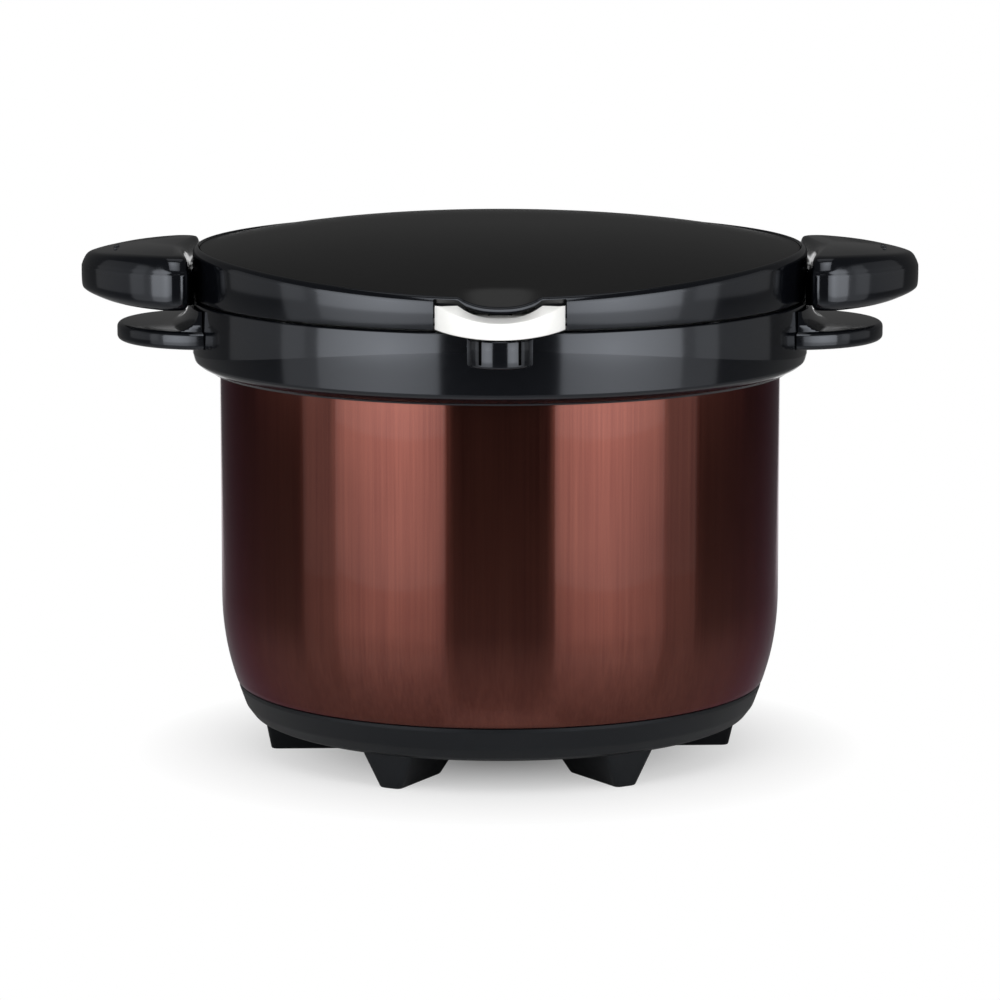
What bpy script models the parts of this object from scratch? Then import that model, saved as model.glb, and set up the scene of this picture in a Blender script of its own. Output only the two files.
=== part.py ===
"""Thermal cooker: a vacuum-walled container with a hinged, latched lid,
and a steel pot with a glass lid that stands inside it.

Metres, +Z up. X runs across the handles, -Y faces the latch, and the origin
is on the floor under the container's axis.
"""

import math

import bmesh
import bpy
from mathutils import Matrix, Vector

# Fits shared by every piece
GAP = 0.0003
RUNNING_GAP = 0.0003
OVERRUN = 0.004
MERGE = 0.00001

# Facets of round pieces
ROUND_STEPS = 48
MIDDLE_STEPS = 32
SMALL_STEPS = 12
SCREW_STEPS = 8
FRONT_STEPS = 5
SHARP_ANGLE = math.radians(35)

# Outer steel shell
BODY_RADIUS = 0.1259
STEEL_WALL = 0.0008
TUCK_HEIGHT = 0.0420
TUCK_BOTTOM = 0.0330
TUCK_DEPTH = 0.0066
TUCK_POWER = 2.28
TUCK_SHARES = (0.3, 0.55, 0.78)
SHOULDER_RISE = 0.0050
SHOULDER_DROP = 0.0016
NECK_DROP = 0.0036
SHELL_STEP = 0.0038
SHELL_STEP_DROP = 0.0009
SHELL_FLOOR_DROP = 0.0066
SHELL_FLOOR_SETBACK = 0.0209
SHELL_CORNER = 0.0030

# Inner steel shell
VACUUM_GAP = 0.0037
LIP_REACH = 0.0028
FLOOR_SPACE = 0.0117
WELL_CORNER = 0.0210
WELL_CORNER_RISE = 0.0230
WELL_CORNER_SHARES = ((0.14, 0.45), (0.48, 0.10))

# Collar, a plastic ring over the shells' joint
COLLAR_PROUD = 0.0121
COLLAR_TOP = 0.2062
COLLAR_TAPER = 0.0005
COLLAR_WALL = 0.0030
COLLAR_EDGE = 0.0006
CREASE_DROP = 0.0244
CREASE_RISE = 0.0164
CREASE_SOFTNESS = 0.0010
SKIRT_PROUD = 0.0050
SKIRT_DROP = 0.0066
SKIRT_LIP = 0.0010
SKIRT_LIP_THICKNESS = 0.0014
SKIRT_LIP_BEND_SHARE = 0.8
SKIRT_CURVE_POWER = 2
SKIRT_CURVE_SHARES = (0, 0.4, 0.72)

# Base cover and its feet
BASE_WALL = 0.0025
BASE_LIP = 0.0016
BASE_BELLY_SETBACK = 0.0105
BASE_BELLY_DROP = 0.0098
BASE_EDGE_SETBACK = 0.0176
BASE_DEPTH = 0.0160
BASE_BEND_SHARES = (0.5, 0.75)
FOOT_COUNT = 6
FOOT_TURN = math.radians(32.3)
FOOT_SETBACK_TOP = 0.0013
FOOT_SETBACK_BOTTOM = 0.0043
FOOT_DEPTH_TOP = 0.0510
FOOT_DEPTH_BOTTOM = 0.0380
FOOT_HALF_TOP = 0.0130
FOOT_HALF_BOTTOM = 0.0053
FOOT_EDGE = 0.0010

# Bracket ring, cap over the evacuation point
BRACKET_RING_RADIUS = 0.0450
BRACKET_RING_WIDTH = 0.0100
BRACKET_RING_DROP = 0.0050
SEAL_CAP_RADIUS = 0.0120
SEAL_CAP_HEIGHT = 0.0030

# Screws
SCREW_RADIUS = 0.0018
SCREW_HEAD_RADIUS = 0.0030
SCREW_HEAD_HEIGHT = 0.0020
SCREW_HOLE_GAP = 0.0003
SCREW_EDGE = 0.0006
BASE_SCREW_COUNT = 3
BASE_SCREW_TURN = math.radians(66)

# Body handles
GRIP_SETBACK = 0.0080
GRIP_LENGTH = 0.0420
GRIP_HALF_WIDTH = 0.0460
GRIP_SIDE_ANGLE = math.radians(82)
GRIP_DROP = 0.0192
GRIP_THICKNESS = 0.0080
GRIP_ROUNDING = 0.0022
GRIP_FILLET = 0.0090
GRIP_LIP = 0.0016
GRIP_ROUND_SHARE = 0.3
GRIP_FILLET_SHARES = (0.04, 0.2, 0.5, 1.0)
GRIP_STEPS = 14
GRIP_SCREW_HALF_SPAN = math.radians(9)
GRIP_SCREW_REACH = 0.0090

# Lid: ring, dome and finger scoop
LID_SETBACK = 0.0003
LID_SEAM = 0.0011
LID_WALL = 0.0030
LID_EDGE = 0.0007
BAND_HEIGHT = 0.0221
RIM_FRONT_DROP = 0.0081
RIM_POWER = 2.5
RIM_ROUNDING = 0.0025
RIM_ARC_ANGLES = (0, 30, 60, 90)
DOME_SEAT_WIDTH = 0.0030
DOME_EDGE_DROP = 0.0008
DOME_WALL = 0.0025
DOME_RISE = 0.0108
DOME_POWER = 2.6
DOME_RADIUS_SHARES = (0.35, 0.6, 0.8, 0.92)
LEDGE_WIDTH = 0.0082
LEDGE_THICKNESS = 0.0020
SCOOP_HALF_WIDTH = 0.0178
SCOOP_DEPTH = 0.0041
SCOOP_POWER = 2.6
SCOOP_START_SHARE = 0.85

# Lid handles
EAR_STANDOFF = 0.0011
EAR_LENGTH = 0.0490
EAR_HALF_WIDTH = 0.0525
EAR_LENGTH_POWER = 1.333
EAR_WIDTH_POWER = 1.176
EAR_SIDE_ANGLE = math.radians(78)
EAR_STEPS = 14
EAR_CORNER = 0.0058
EAR_CORNER_SHARES = ((0.45, 0.15), (0, 0.75))
EAR_BOW = 0.0026
EAR_THICKNESS = 0.0240
EAR_TOP_FALL = 0.0018
EAR_DROP = 0.0025
EAR_BOTTOM_RISE = 0.0032
EAR_MIDDLE_REACH = 0.0190
EAR_NECK_HALF_WIDTH = 0.0250
EAR_NECK_SHARES = (1.0, 0.5, 0, -0.5, -1.0)
EAR_INNER_SHARE = 0.64
EAR_INSETS = (0.0045, 0.0015, 0.0002, 0, 0.0004, 0.0010, 0.0024, 0.0044, 0.0078)
EAR_LEVEL_SHARES = (0, 0.08, 0.2, 0.6, 0.7, 0.78, 0.9, 0.97, 1.0)
EAR_NECK_LEVELS = 4
EAR_SCREW_HALF_SPAN = math.radians(7)
EAR_SCREW_RISE = 0.0102
EAR_SCREW_REACH = 0.0090

# Lid's inside: inner plate, foam and gasket
PLATE_WALL = 0.0010
PLATE_RISE = 0.0021
PLATE_RADIUS_GAP = 0.0004
PLATE_FLANGE_WIDTH = 0.0183
PLATE_DISH_SLOPE = 0.0040
PLATE_DISH_RISE = 0.0076
FOAM_SETBACK = 0.0015
GASKET_WIDTH = 0.0028
GASKET_EDGE = 0.0006
LID_SCREW_SETBACK = 0.0075
LID_SCREW_COUNT = 4
LID_SCREW_TURN = math.radians(45)
LID_SCREW_REACH = 0.0120
LID_BOSS_RADIUS = 0.0036

# Latch: notch, lever, hook, spring, pin and housing
NOTCH_HALF_WIDTH = 0.0282
NOTCH_REACH = 0.0121
NOTCH_RIM = 0.0013
NOTCH_RIM_SHARE = 0.37
LATCH_SETBACK = 0.0092
LATCH_RISE = 0.0032
LATCH_PIN_RADIUS = 0.0012
LEVER_SIDE_GAP = 0.0007
LEVER_PROUD = 0.0143
LEVER_END_PROUD = 0.0012
LEVER_LIP = 0.0048
LEVER_LIP_RISE = 0.0027
LEVER_FACE_TOP = 0.0015
LEVER_FACE_RISE = 0.0065
LEVER_TOP_GAP = 0.0013
LEVER_TOP_END_GAP = 0.0013
LEVER_WALL = 0.0026
LEVER_SLOPE = 0.0004
LEVER_SHELF_SETBACK = 0.0034
LEVER_STEP_DROP = 0.0019
LEVER_UNDERSIDE_DROP = 0.0025
LEVER_HEEL_TOP = 0.0027
LEVER_HEEL_BACK = 0.0036
LEVER_HEEL_BEND_SHARE = 0.7
LEVER_STATIONS = 8
LEVER_EDGE = 0.0005
SPRING_RADIUS = 0.0026
SPRING_LENGTH = 0.0090
SPRING_SPACE = 0.0010
HOUSING_RISE = 0.0025
HOUSING_HALF_WIDTH = 0.0304
HOUSING_BACK = 0.0012
HOUSING_FRONT = 0.0021
HOOK_HALF_WIDTH = 0.0080
HOOK_THICKNESS = 0.0024
HOOK_NOSE = 0.0024
HOOK_NOSE_REACH = 0.0002
HOOK_FOOT = 0.0018
HOOK_FOOT_FRONT = 0.0030
HOOK_FOOT_BACK = 0.0024
HOOK_FLOOR_GAP = 0.0020

# Keeper, the boss on the collar that the hook drops into
KEEPER_HALF_WIDTH = 0.0139
KEEPER_DEPTH = 0.0130
KEEPER_DROP = 0.0020
KEEPER_HEIGHT = 0.0118
KEEPER_ROUNDING = 0.0012
KEEPER_ROUND_SHARES = (0.4, 0.3)
KEEPER_BACK_SHARES = (1, 0.5, 0, -0.5, -1)
KEEPER_WALL = 0.0022
KEEPER_LIP_DEPTH = 0.0030
KEEPER_LIP_HEIGHT = 0.0037
KEEPER_BACK = 0.0011
KEEPER_FLOOR = 0.0016
KEEPER_STEPS = 12
KEEPER_POCKET_HALF_WIDTH = 0.0090

# Rear hinge
HINGE_STANDOFF = 0.0082
HINGE_DROP = 0.0032
HINGE_KNUCKLE = 0.0058
HINGE_PIN_RADIUS = 0.0022
HINGE_HALF_WIDTH = 0.0180
HINGE_ARM_HALF_WIDTH = 0.0100
HINGE_SIDE_GAP = 0.0004
HINGE_BURIED = 0.0080
BRACKET_DEPTH = 0.0075
BRACKET_TOP_DROP = 0.0006
BRACKET_PLATE = 0.0014
ARM_RISE = 0.0160
ARM_BOTTOM_RISE = 0.0012
ARM_DEPTH = 0.0040
KNUCKLE_ARC_STEPS = 10
BRACKET_ARC = (-100, 140)
ARM_ARC = (-160, 60)
HINGE_SCREW_TURN = math.radians(6)
HINGE_SCREW_DROP = 0.0032
HINGE_SCREW_SETBACK = 0.0007
HINGE_SCREW_REACH = 0.0050

# Pot
POT_ROOM = 0.0134
POT_WALL = 0.0010
POT_RIM_DROP = 0.0298
POT_RIM_FLARE = 0.0014
POT_CORNER = 0.0100
POT_CORNER_SHARES = ((0, 1.0), (0.3, 0.35), (1.0, 0))
POT_DISC_SETBACK = 0.0120
POT_DISC_THICKNESS = 0.0043
POT_DISC_EDGE = 0.0008

# Pot handles: brackets, wire bails and grips
PIVOT_STANDOFF = 0.00415
PIVOT_DROP = 0.0104
BAIL_WIRE_RADIUS = 0.0015
BAIL_HALF_WIDTH = 0.0360
BAIL_PIN_END = 0.0260
BAIL_RISE = 0.0190
BAIL_BAR_SETBACK = 0.0360
BAIL_BAR_RISE = 0.0310
BAIL_BAR_HALF_WIDTH = 0.0300
BARREL_RADIUS = 0.0029
BARREL_INNER = 0.0265
BARREL_OUTER = 0.0335
BARREL_GAP = 0.0004
BRACKET_THICKNESS = 0.0015
POT_BRACKET_DEPTH = 0.0100
BRACKET_MARGIN = 0.0020
BRACKET_STEPS = 6
BAIL_GRIP_RADIUS = 0.0050
BAIL_GRIP_HALF_LENGTH = 0.0220
BAIL_GRIP_EDGE = 0.0012

# Glass pot lid with its steel rim and knob
GLASS_SETBACK = 0.0006
GLASS_THICKNESS = 0.0032
GLASS_RISE = 0.0105
GLASS_SHARES = (0.3, 0.6, 0.85)
LID_RING_PROUD = 0.0008
LID_RING_SETBACK = 0.0035
LID_RING_THICKNESS = 0.0008
LID_RING_WALL = 0.0010
LID_RING_HEIGHT = 0.0042
LID_RING_SKIRT = 0.0045
LID_RING_SKIRT_SETBACK = 0.0016
KNOB_RADIUS = 0.0190
KNOB_FOOT_RADIUS = 0.0110
KNOB_STEM_RADIUS = 0.0085
KNOB_HEIGHT = 0.0140
KNOB_STEM_SHARE = 0.35
KNOB_RIM_SHARE = 0.8
KNOB_CROWN_SHARE = 0.7
KNOB_BORE_SHARE = 0.6


# Helpers

def clear_scene():
    for item in list(bpy.data.objects):
        bpy.data.objects.remove(item, do_unlink=True)


def material(name, colour, roughness, metallic=0.0):
    made = bpy.data.materials.new(name)
    made.use_nodes = True
    shader = made.node_tree.nodes["Principled BSDF"]
    shader.inputs["Base Color"].default_value = (*colour, 1.0)
    shader.inputs["Roughness"].default_value = roughness
    shader.inputs["Metallic"].default_value = metallic
    made.diffuse_color = (*colour, 1.0)
    return made


def finish(name, shape, finish_of, origin=None):
    """Turns a bmesh into a named object whose origin is at the given point."""
    bmesh.ops.remove_doubles(shape, verts=shape.verts, dist=MERGE)
    bmesh.ops.recalc_face_normals(shape, faces=shape.faces)
    if origin is not None:
        bmesh.ops.translate(shape, vec=-origin, verts=shape.verts)
    mesh = bpy.data.meshes.new(name)
    shape.to_mesh(mesh)
    shape.free()
    mesh.shade_smooth()
    mesh.set_sharp_from_angle(angle=SHARP_ANGLE)
    made = bpy.data.objects.new(name, mesh)
    if origin is not None:
        made.location = origin
    bpy.context.collection.objects.link(made)
    if finish_of is not None:
        mesh.materials.append(finish_of)
    return made


def polar(radius, height, angle):
    """A point at an angle from the front, where +X is at a quarter turn."""
    return Vector((radius * math.sin(angle), -radius * math.cos(angle), height))


def on_wall(radius, aside):
    """How far out a round wall lies at a distance aside from its middle."""
    return math.sqrt(radius ** 2 - aside ** 2)


def on_axis(point):
    return point[0] < MERGE


def turned(name, section, finish_of, steps=ROUND_STEPS, place=None, direction=None):
    """Spins a closed section of (radius, height) points about its Z axis."""
    shape = bmesh.new()
    verts = [shape.verts.new((radius, 0, height)) for radius, height in section]
    edges = []
    for index, vert in enumerate(verts):
        other = (index + 1) % len(verts)
        if on_axis(section[index]) and on_axis(section[other]):
            continue
        edges.append(shape.edges.new((vert, verts[other])))
    bmesh.ops.spin(shape, geom=verts + edges, cent=(0, 0, 0), axis=(0, 0, 1),
                   angle=math.tau, steps=steps, use_merge=True)
    made = finish(name, shape, finish_of)
    if place is not None:
        turn = Vector(direction).to_track_quat("Z", "Y").to_matrix().to_4x4()
        made.matrix_world = Matrix.Translation(place) @ turn
    return made


def swept(name, section_at, angles, finish_of):
    """Joins the sections at each angle into one closed ring or disc."""
    shape = bmesh.new()
    rings = []
    for angle in angles:
        section = section_at(angle)
        rings.append([shape.verts.new(polar(r, z, angle)) for r, z in section])
    sample = section_at(0)
    for first, second in zip(rings, rings[1:] + rings[:1]):
        for index in range(len(sample)):
            other = (index + 1) % len(sample)
            if on_axis(sample[index]) and on_axis(sample[other]):
                continue
            shape.faces.new((first[index], second[index], second[other], first[other]))
    return finish(name, shape, finish_of)


def stack(name, rings, finish_of, origin=None):
    """Joins closed rings of points into one body with a cap at each end."""
    shape = bmesh.new()
    loops = [[shape.verts.new(point) for point in ring] for ring in rings]
    for first, second in zip(loops, loops[1:]):
        for index in range(len(first)):
            other = (index + 1) % len(first)
            shape.faces.new((first[index], first[other], second[other], second[index]))
    shape.faces.new(list(reversed(loops[0])))
    shape.faces.new(loops[-1])
    return finish(name, shape, finish_of, origin)


def prism(name, outline, low, high, finish_of, origin=None):
    """Runs a (y, z) outline along X from low to high."""
    rings = [[Vector((x, y, z)) for y, z in outline] for x in (low, high)]
    return stack(name, rings, finish_of, origin)


def block(name, low, high):
    """A box from one corner to the other, used as a cutter."""
    outline = ((low[1], low[2]), (high[1], low[2]), (high[1], high[2]), (low[1], high[2]))
    return as_guide(prism(name, outline, low[0], high[0], None))


def as_guide(item):
    item.hide_render = True
    item.display_type = "WIRE"
    return item


def combine(target, other, operation="DIFFERENCE"):
    step = target.modifiers.new(other.name, "BOOLEAN")
    step.operation = operation
    step.solver = "EXACT"
    step.object = other


def bore(targets, name, radius, place, direction, length, steps=SMALL_STEPS):
    """Cuts one round hole through each target."""
    section = ((0, -OVERRUN), (radius, -OVERRUN), (radius, length), (0, length))
    cutter = as_guide(turned(name, section, None, steps, place, direction))
    for target in targets:
        combine(target, cutter)


def offset_line(points, distance):
    """Moves an open line of points to its right, with mitred corners."""
    normals = []
    for (r0, z0), (r1, z1) in zip(points, points[1:]):
        length = math.hypot(r1 - r0, z1 - z0)
        normals.append(((z1 - z0) / length, (r0 - r1) / length))
    moved = []
    for index, (radius, height) in enumerate(points):
        before = normals[max(index - 1, 0)]
        after = normals[min(index, len(normals) - 1)]
        blend = (before[0] + after[0], before[1] + after[1])
        share = distance / (1 + before[0] * after[0] + before[1] * after[1])
        moved.append((radius + blend[0] * share, height + blend[1] * share))
    return moved


def sheet_section(points, wall):
    """The closed section of a sheet whose outer side is the line of points."""
    return list(points) + list(reversed(offset_line(points, wall)))


def screw(name, place, direction, reach):
    """A pan-head screw: its head ends at the place, its shank goes on."""
    section = (
        (0, -SCREW_HEAD_HEIGHT),
        (SCREW_HEAD_RADIUS - SCREW_EDGE, -SCREW_HEAD_HEIGHT),
        (SCREW_HEAD_RADIUS, SCREW_EDGE - SCREW_HEAD_HEIGHT),
        (SCREW_HEAD_RADIUS, 0),
        (SCREW_RADIUS, 0),
        (SCREW_RADIUS, reach),
        (0, reach),
    )
    return turned(name, section, STEEL, SCREW_STEPS, place, direction)


def screwed(name, targets, place, direction, reach, past=GAP):
    """A screw and its clearance holes, which run a little past its tip."""
    start = Vector(place)
    screw(name, start, direction, reach)
    hole = SCREW_RADIUS + SCREW_HOLE_GAP
    bore(targets, name + "_hole", hole, start, direction, reach + past, SCREW_STEPS)


def even_angles():
    return [math.tau * step / ROUND_STEPS for step in range(ROUND_STEPS)]


def front_angles():
    """Even angles, with finer ones across the scoop and the latch."""
    step = math.tau / ROUND_STEPS
    angles = []
    for angle in even_angles():
        angles.append(angle)
        if angle < 2 * step or angle >= math.tau - 2 * step:
            angles += [angle + step * part / FRONT_STEPS for part in range(1, FRONT_STEPS)]
    return angles


# Finishes

clear_scene()
BROWN_STEEL = material("brown_lacquered_steel", (0.16, 0.055, 0.04), 0.22, 0.9)
STEEL = material("stainless_steel", (0.62, 0.62, 0.61), 0.28, 1.0)
ALUMINIUM = material("aluminium", (0.70, 0.70, 0.71), 0.35, 1.0)
GLOSS_BLACK = material("gloss_black_plastic", (0.018, 0.019, 0.024), 0.12)
SATIN_BLACK = material("satin_black_plastic", (0.022, 0.022, 0.022), 0.42)
MATT_BLACK = material("matt_black_plastic", (0.020, 0.021, 0.023), 0.55)
WHITE = material("white_plastic", (0.86, 0.86, 0.84), 0.35)
GREY_PLASTIC = material("grey_plastic", (0.30, 0.30, 0.31), 0.5)
FOAM = material("cream_foam", (0.80, 0.74, 0.58), 0.9)
SILICONE = material("grey_silicone", (0.42, 0.43, 0.44), 0.6)
GLASS = material("clear_glass", (0.80, 0.88, 0.86), 0.05)

# Sizes worked out from the ones above

# Shells and base, out from the body's radius and up from its foot
TUCK_TOP = TUCK_BOTTOM + TUCK_HEIGHT
NECK_TOP = COLLAR_TOP - NECK_DROP
SHOULDER_HIGH = NECK_TOP - SHOULDER_DROP
SHOULDER_LOW = SHOULDER_HIGH - SHOULDER_RISE
STEP_HEIGHT = TUCK_BOTTOM - SHELL_STEP_DROP
SHELL_FLOOR = STEP_HEIGHT - SHELL_FLOOR_DROP
SHELL_FLOOR_RADIUS = BODY_RADIUS - SHELL_FLOOR_SETBACK
WELL_FLOOR = SHELL_FLOOR + FLOOR_SPACE
WELL_RADIUS = BODY_RADIUS - STEEL_WALL - VACUUM_GAP
NECK_RADIUS = WELL_RADIUS + GAP + STEEL_WALL
LIP_UNDERSIDE = NECK_TOP + GAP
LIP_RADIUS = WELL_RADIUS + LIP_REACH
LIP_TOP = LIP_UNDERSIDE + STEEL_WALL
BASE_TOP = STEP_HEIGHT - GAP
BASE_BELLY_HEIGHT = BASE_TOP - BASE_BELLY_DROP
BASE_BELLY_RADIUS = BODY_RADIUS - BASE_BELLY_SETBACK
BASE_BOTTOM = BASE_TOP - BASE_DEPTH
BASE_EDGE_RADIUS = BODY_RADIUS - BASE_EDGE_SETBACK
FOOT_OUTER_TOP = BASE_EDGE_RADIUS - FOOT_SETBACK_TOP
FOOT_OUTER_BOTTOM = BASE_EDGE_RADIUS - FOOT_SETBACK_BOTTOM
FOOT_INNER_TOP = FOOT_OUTER_TOP - FOOT_DEPTH_TOP
FOOT_INNER_BOTTOM = FOOT_OUTER_BOTTOM - FOOT_DEPTH_BOTTOM

# Collar, its handles, keeper and hinge, down from the collar's top
COLLAR_RADIUS = BODY_RADIUS + COLLAR_PROUD
COLLAR_TOP_RADIUS = COLLAR_RADIUS - COLLAR_TAPER
COLLAR_INNER = LIP_RADIUS + GAP
COLLAR_UNDERSIDE = COLLAR_TOP - COLLAR_WALL
CREASE_SIDE = COLLAR_TOP - CREASE_DROP
SKIRT_RADIUS = BODY_RADIUS + SKIRT_PROUD
SKIRT_HEIGHT = CREASE_SIDE - SKIRT_DROP
SKIRT_TOP_RADIUS = COLLAR_RADIUS - CREASE_SOFTNESS / 2
SKIRT_CURVE_TOP = CREASE_SIDE - CREASE_SOFTNESS * 2
WALL_FACE = COLLAR_RADIUS + GAP
GRIP_CENTRE = COLLAR_RADIUS - GRIP_SETBACK
GRIP_BOTTOM = COLLAR_TOP - GRIP_DROP
GRIP_TOP = GRIP_BOTTOM + GRIP_THICKNESS
GRIP_SCREW_HEIGHT = GRIP_BOTTOM + GRIP_THICKNESS / 2
KEEPER_TOP = COLLAR_TOP - KEEPER_DROP
KEEPER_BOTTOM = KEEPER_TOP - KEEPER_HEIGHT
KEEPER_POCKET_FLOOR = KEEPER_BOTTOM + KEEPER_FLOOR
KEEPER_POCKET_FRONT = COLLAR_RADIUS + KEEPER_DEPTH - KEEPER_WALL
KEEPER_LIP_FRONT = WALL_FACE + KEEPER_LIP_DEPTH
HINGE_Y = COLLAR_RADIUS + HINGE_STANDOFF
HINGE_Z = COLLAR_TOP - HINGE_DROP
HINGE_ROOT = COLLAR_RADIUS - HINGE_BURIED
BRACKET_BOTTOM = HINGE_Z - BRACKET_DEPTH
HINGE_SCREW_HEIGHT = HINGE_Z - HINGE_SCREW_DROP
ARM_TOP = HINGE_Z + ARM_RISE

# Lid, its inside, its handles and the latch, up from the seam
LID_RADIUS = COLLAR_RADIUS - LID_SETBACK
LID_BOTTOM = COLLAR_TOP + LID_SEAM
LID_FACE = LID_RADIUS + GAP
RIM_SIDE_HEIGHT = LID_BOTTOM + BAND_HEIGHT
DOME_CREST = RIM_SIDE_HEIGHT + DOME_RISE
DOME_SEAT_RADIUS = LID_RADIUS - DOME_SEAT_WIDTH
DOME_RADIUS = DOME_SEAT_RADIUS - GAP
LEDGE_DROP = DOME_EDGE_DROP + DOME_WALL + GAP
PLATE_UNDERSIDE = LID_BOTTOM + PLATE_RISE
PLATE_RADIUS = LID_RADIUS - LID_WALL - PLATE_RADIUS_GAP
PLATE_FLANGE_INNER = PLATE_RADIUS - PLATE_FLANGE_WIDTH
PLATE_DISH_RADIUS = PLATE_FLANGE_INNER - PLATE_DISH_SLOPE
PLATE_DISH_HEIGHT = PLATE_UNDERSIDE + PLATE_DISH_RISE
FOAM_RADIUS = PLATE_DISH_RADIUS - FOAM_SETBACK
LID_SCREW_RADIUS = LID_RADIUS - LID_SCREW_SETBACK
EAR_INNER = LID_RADIUS + EAR_STANDOFF
EAR_MIDDLE = EAR_INNER + EAR_MIDDLE_REACH
EAR_BOTTOM = LID_BOTTOM - EAR_DROP
EAR_TOP = EAR_BOTTOM + EAR_THICKNESS
EAR_SCREW_HEIGHT = EAR_BOTTOM + EAR_SCREW_RISE
LATCH_Y = LATCH_SETBACK - LID_RADIUS
LATCH_Z = LID_BOTTOM + LATCH_RISE
LEVER_HALF_WIDTH = NOTCH_HALF_WIDTH - LEVER_SIDE_GAP
LEVER_FRONT = LID_RADIUS + LEVER_PROUD
LEVER_UNDERSIDE = LATCH_Z - LEVER_UNDERSIDE_DROP
HOUSING_TOP = LATCH_Z + HOUSING_RISE
HOOK_BOTTOM = KEEPER_POCKET_FLOOR + HOOK_FLOOR_GAP

# Pot and its glass lid, inside the well
POT_RADIUS = WELL_RADIUS - POT_ROOM
POT_DISC_RADIUS = POT_RADIUS - POT_DISC_SETBACK
POT_DISC_BOTTOM = WELL_FLOOR + STEEL_WALL + GAP
POT_BOTTOM = POT_DISC_BOTTOM + POT_DISC_THICKNESS + GAP
POT_RIM_HEIGHT = COLLAR_TOP - POT_RIM_DROP
BARREL_MIDDLE = (BARREL_INNER + BARREL_OUTER) / 2
PIVOT_RADIUS = math.sqrt(POT_RADIUS ** 2 - BARREL_MIDDLE ** 2) + PIVOT_STANDOFF
PIVOT_HEIGHT = POT_RIM_HEIGHT - PIVOT_DROP
BRACKET_LOW = PIVOT_HEIGHT - POT_BRACKET_DEPTH
BRACKET_HALF_ANGLE = math.asin((BARREL_OUTER - BRACKET_MARGIN) / PIVOT_RADIUS)
BAIL_BAR_RADIUS = POT_RADIUS - BAIL_BAR_SETBACK
BAIL_BAR_HEIGHT = PIVOT_HEIGHT + BAIL_BAR_RISE
RING_BOTTOM = POT_RIM_HEIGHT + GAP
LID_RING_RADIUS = POT_RADIUS + LID_RING_PROUD
LID_RING_INNER = POT_RADIUS - LID_RING_SETBACK
LID_RING_SKIRT_RADIUS = POT_RADIUS - LID_RING_SKIRT_SETBACK
GLASS_RADIUS = POT_RADIUS - GLASS_SETBACK
GLASS_EDGE = RING_BOTTOM + LID_RING_THICKNESS + GAP
GLASS_CREST = GLASS_EDGE + GLASS_THICKNESS + GLASS_RISE

# Directions
BACK = Vector((0, 1, 0))
UP = Vector((0, 0, 1))
ACROSS = Vector((1, 0, 0))


# Container

def tuck_radius(height):
    """The body's radius where its wall curves in towards the base."""
    share = max(0, (TUCK_TOP - height) / (TUCK_TOP - TUCK_BOTTOM))
    return BODY_RADIUS - TUCK_DEPTH * share ** TUCK_POWER


def make_outer_shell():
    curve = []
    for share in (0, *TUCK_SHARES, 1):
        height = TUCK_TOP - share * (TUCK_TOP - TUCK_BOTTOM)
        curve.append((tuck_radius(height), height))
    edge = tuck_radius(TUCK_BOTTOM) - SHELL_STEP_DROP
    line = [
        (NECK_RADIUS, NECK_TOP),
        (NECK_RADIUS, SHOULDER_HIGH),
        (BODY_RADIUS, SHOULDER_LOW),
        *curve,
        (edge, STEP_HEIGHT),
        (edge - SHELL_STEP, STEP_HEIGHT),
        (SHELL_FLOOR_RADIUS + SHELL_CORNER, SHELL_FLOOR + SHELL_CORNER),
        (SHELL_FLOOR_RADIUS, SHELL_FLOOR),
        (0, SHELL_FLOOR),
    ]
    return turned("outer_shell", sheet_section(line, STEEL_WALL), BROWN_STEEL)


def make_inner_shell():
    corner = [
        (WELL_RADIUS - share_r * WELL_CORNER, WELL_FLOOR + share_z * WELL_CORNER_RISE)
        for share_r, share_z in WELL_CORNER_SHARES
    ]
    line = [
        (LIP_RADIUS, LIP_UNDERSIDE),
        (WELL_RADIUS, LIP_UNDERSIDE),
        (WELL_RADIUS, WELL_FLOOR + WELL_CORNER_RISE),
        *corner,
        (WELL_RADIUS - WELL_CORNER, WELL_FLOOR),
        (0, WELL_FLOOR),
    ]
    return turned("inner_shell", sheet_section(line, STEEL_WALL), STEEL)


def crease_height(angle):
    return CREASE_SIDE + CREASE_RISE * math.cos(angle) ** 2


def collar_face(angle, height):
    """The collar's outer radius at an angle and a height."""
    if height > crease_height(angle) - CREASE_SOFTNESS:
        return COLLAR_RADIUS
    share = min(1, max(0, (SKIRT_CURVE_TOP - height) / (SKIRT_CURVE_TOP - SKIRT_HEIGHT)))
    return SKIRT_TOP_RADIUS - share ** SKIRT_CURVE_POWER * (SKIRT_TOP_RADIUS - SKIRT_RADIUS)


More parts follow.
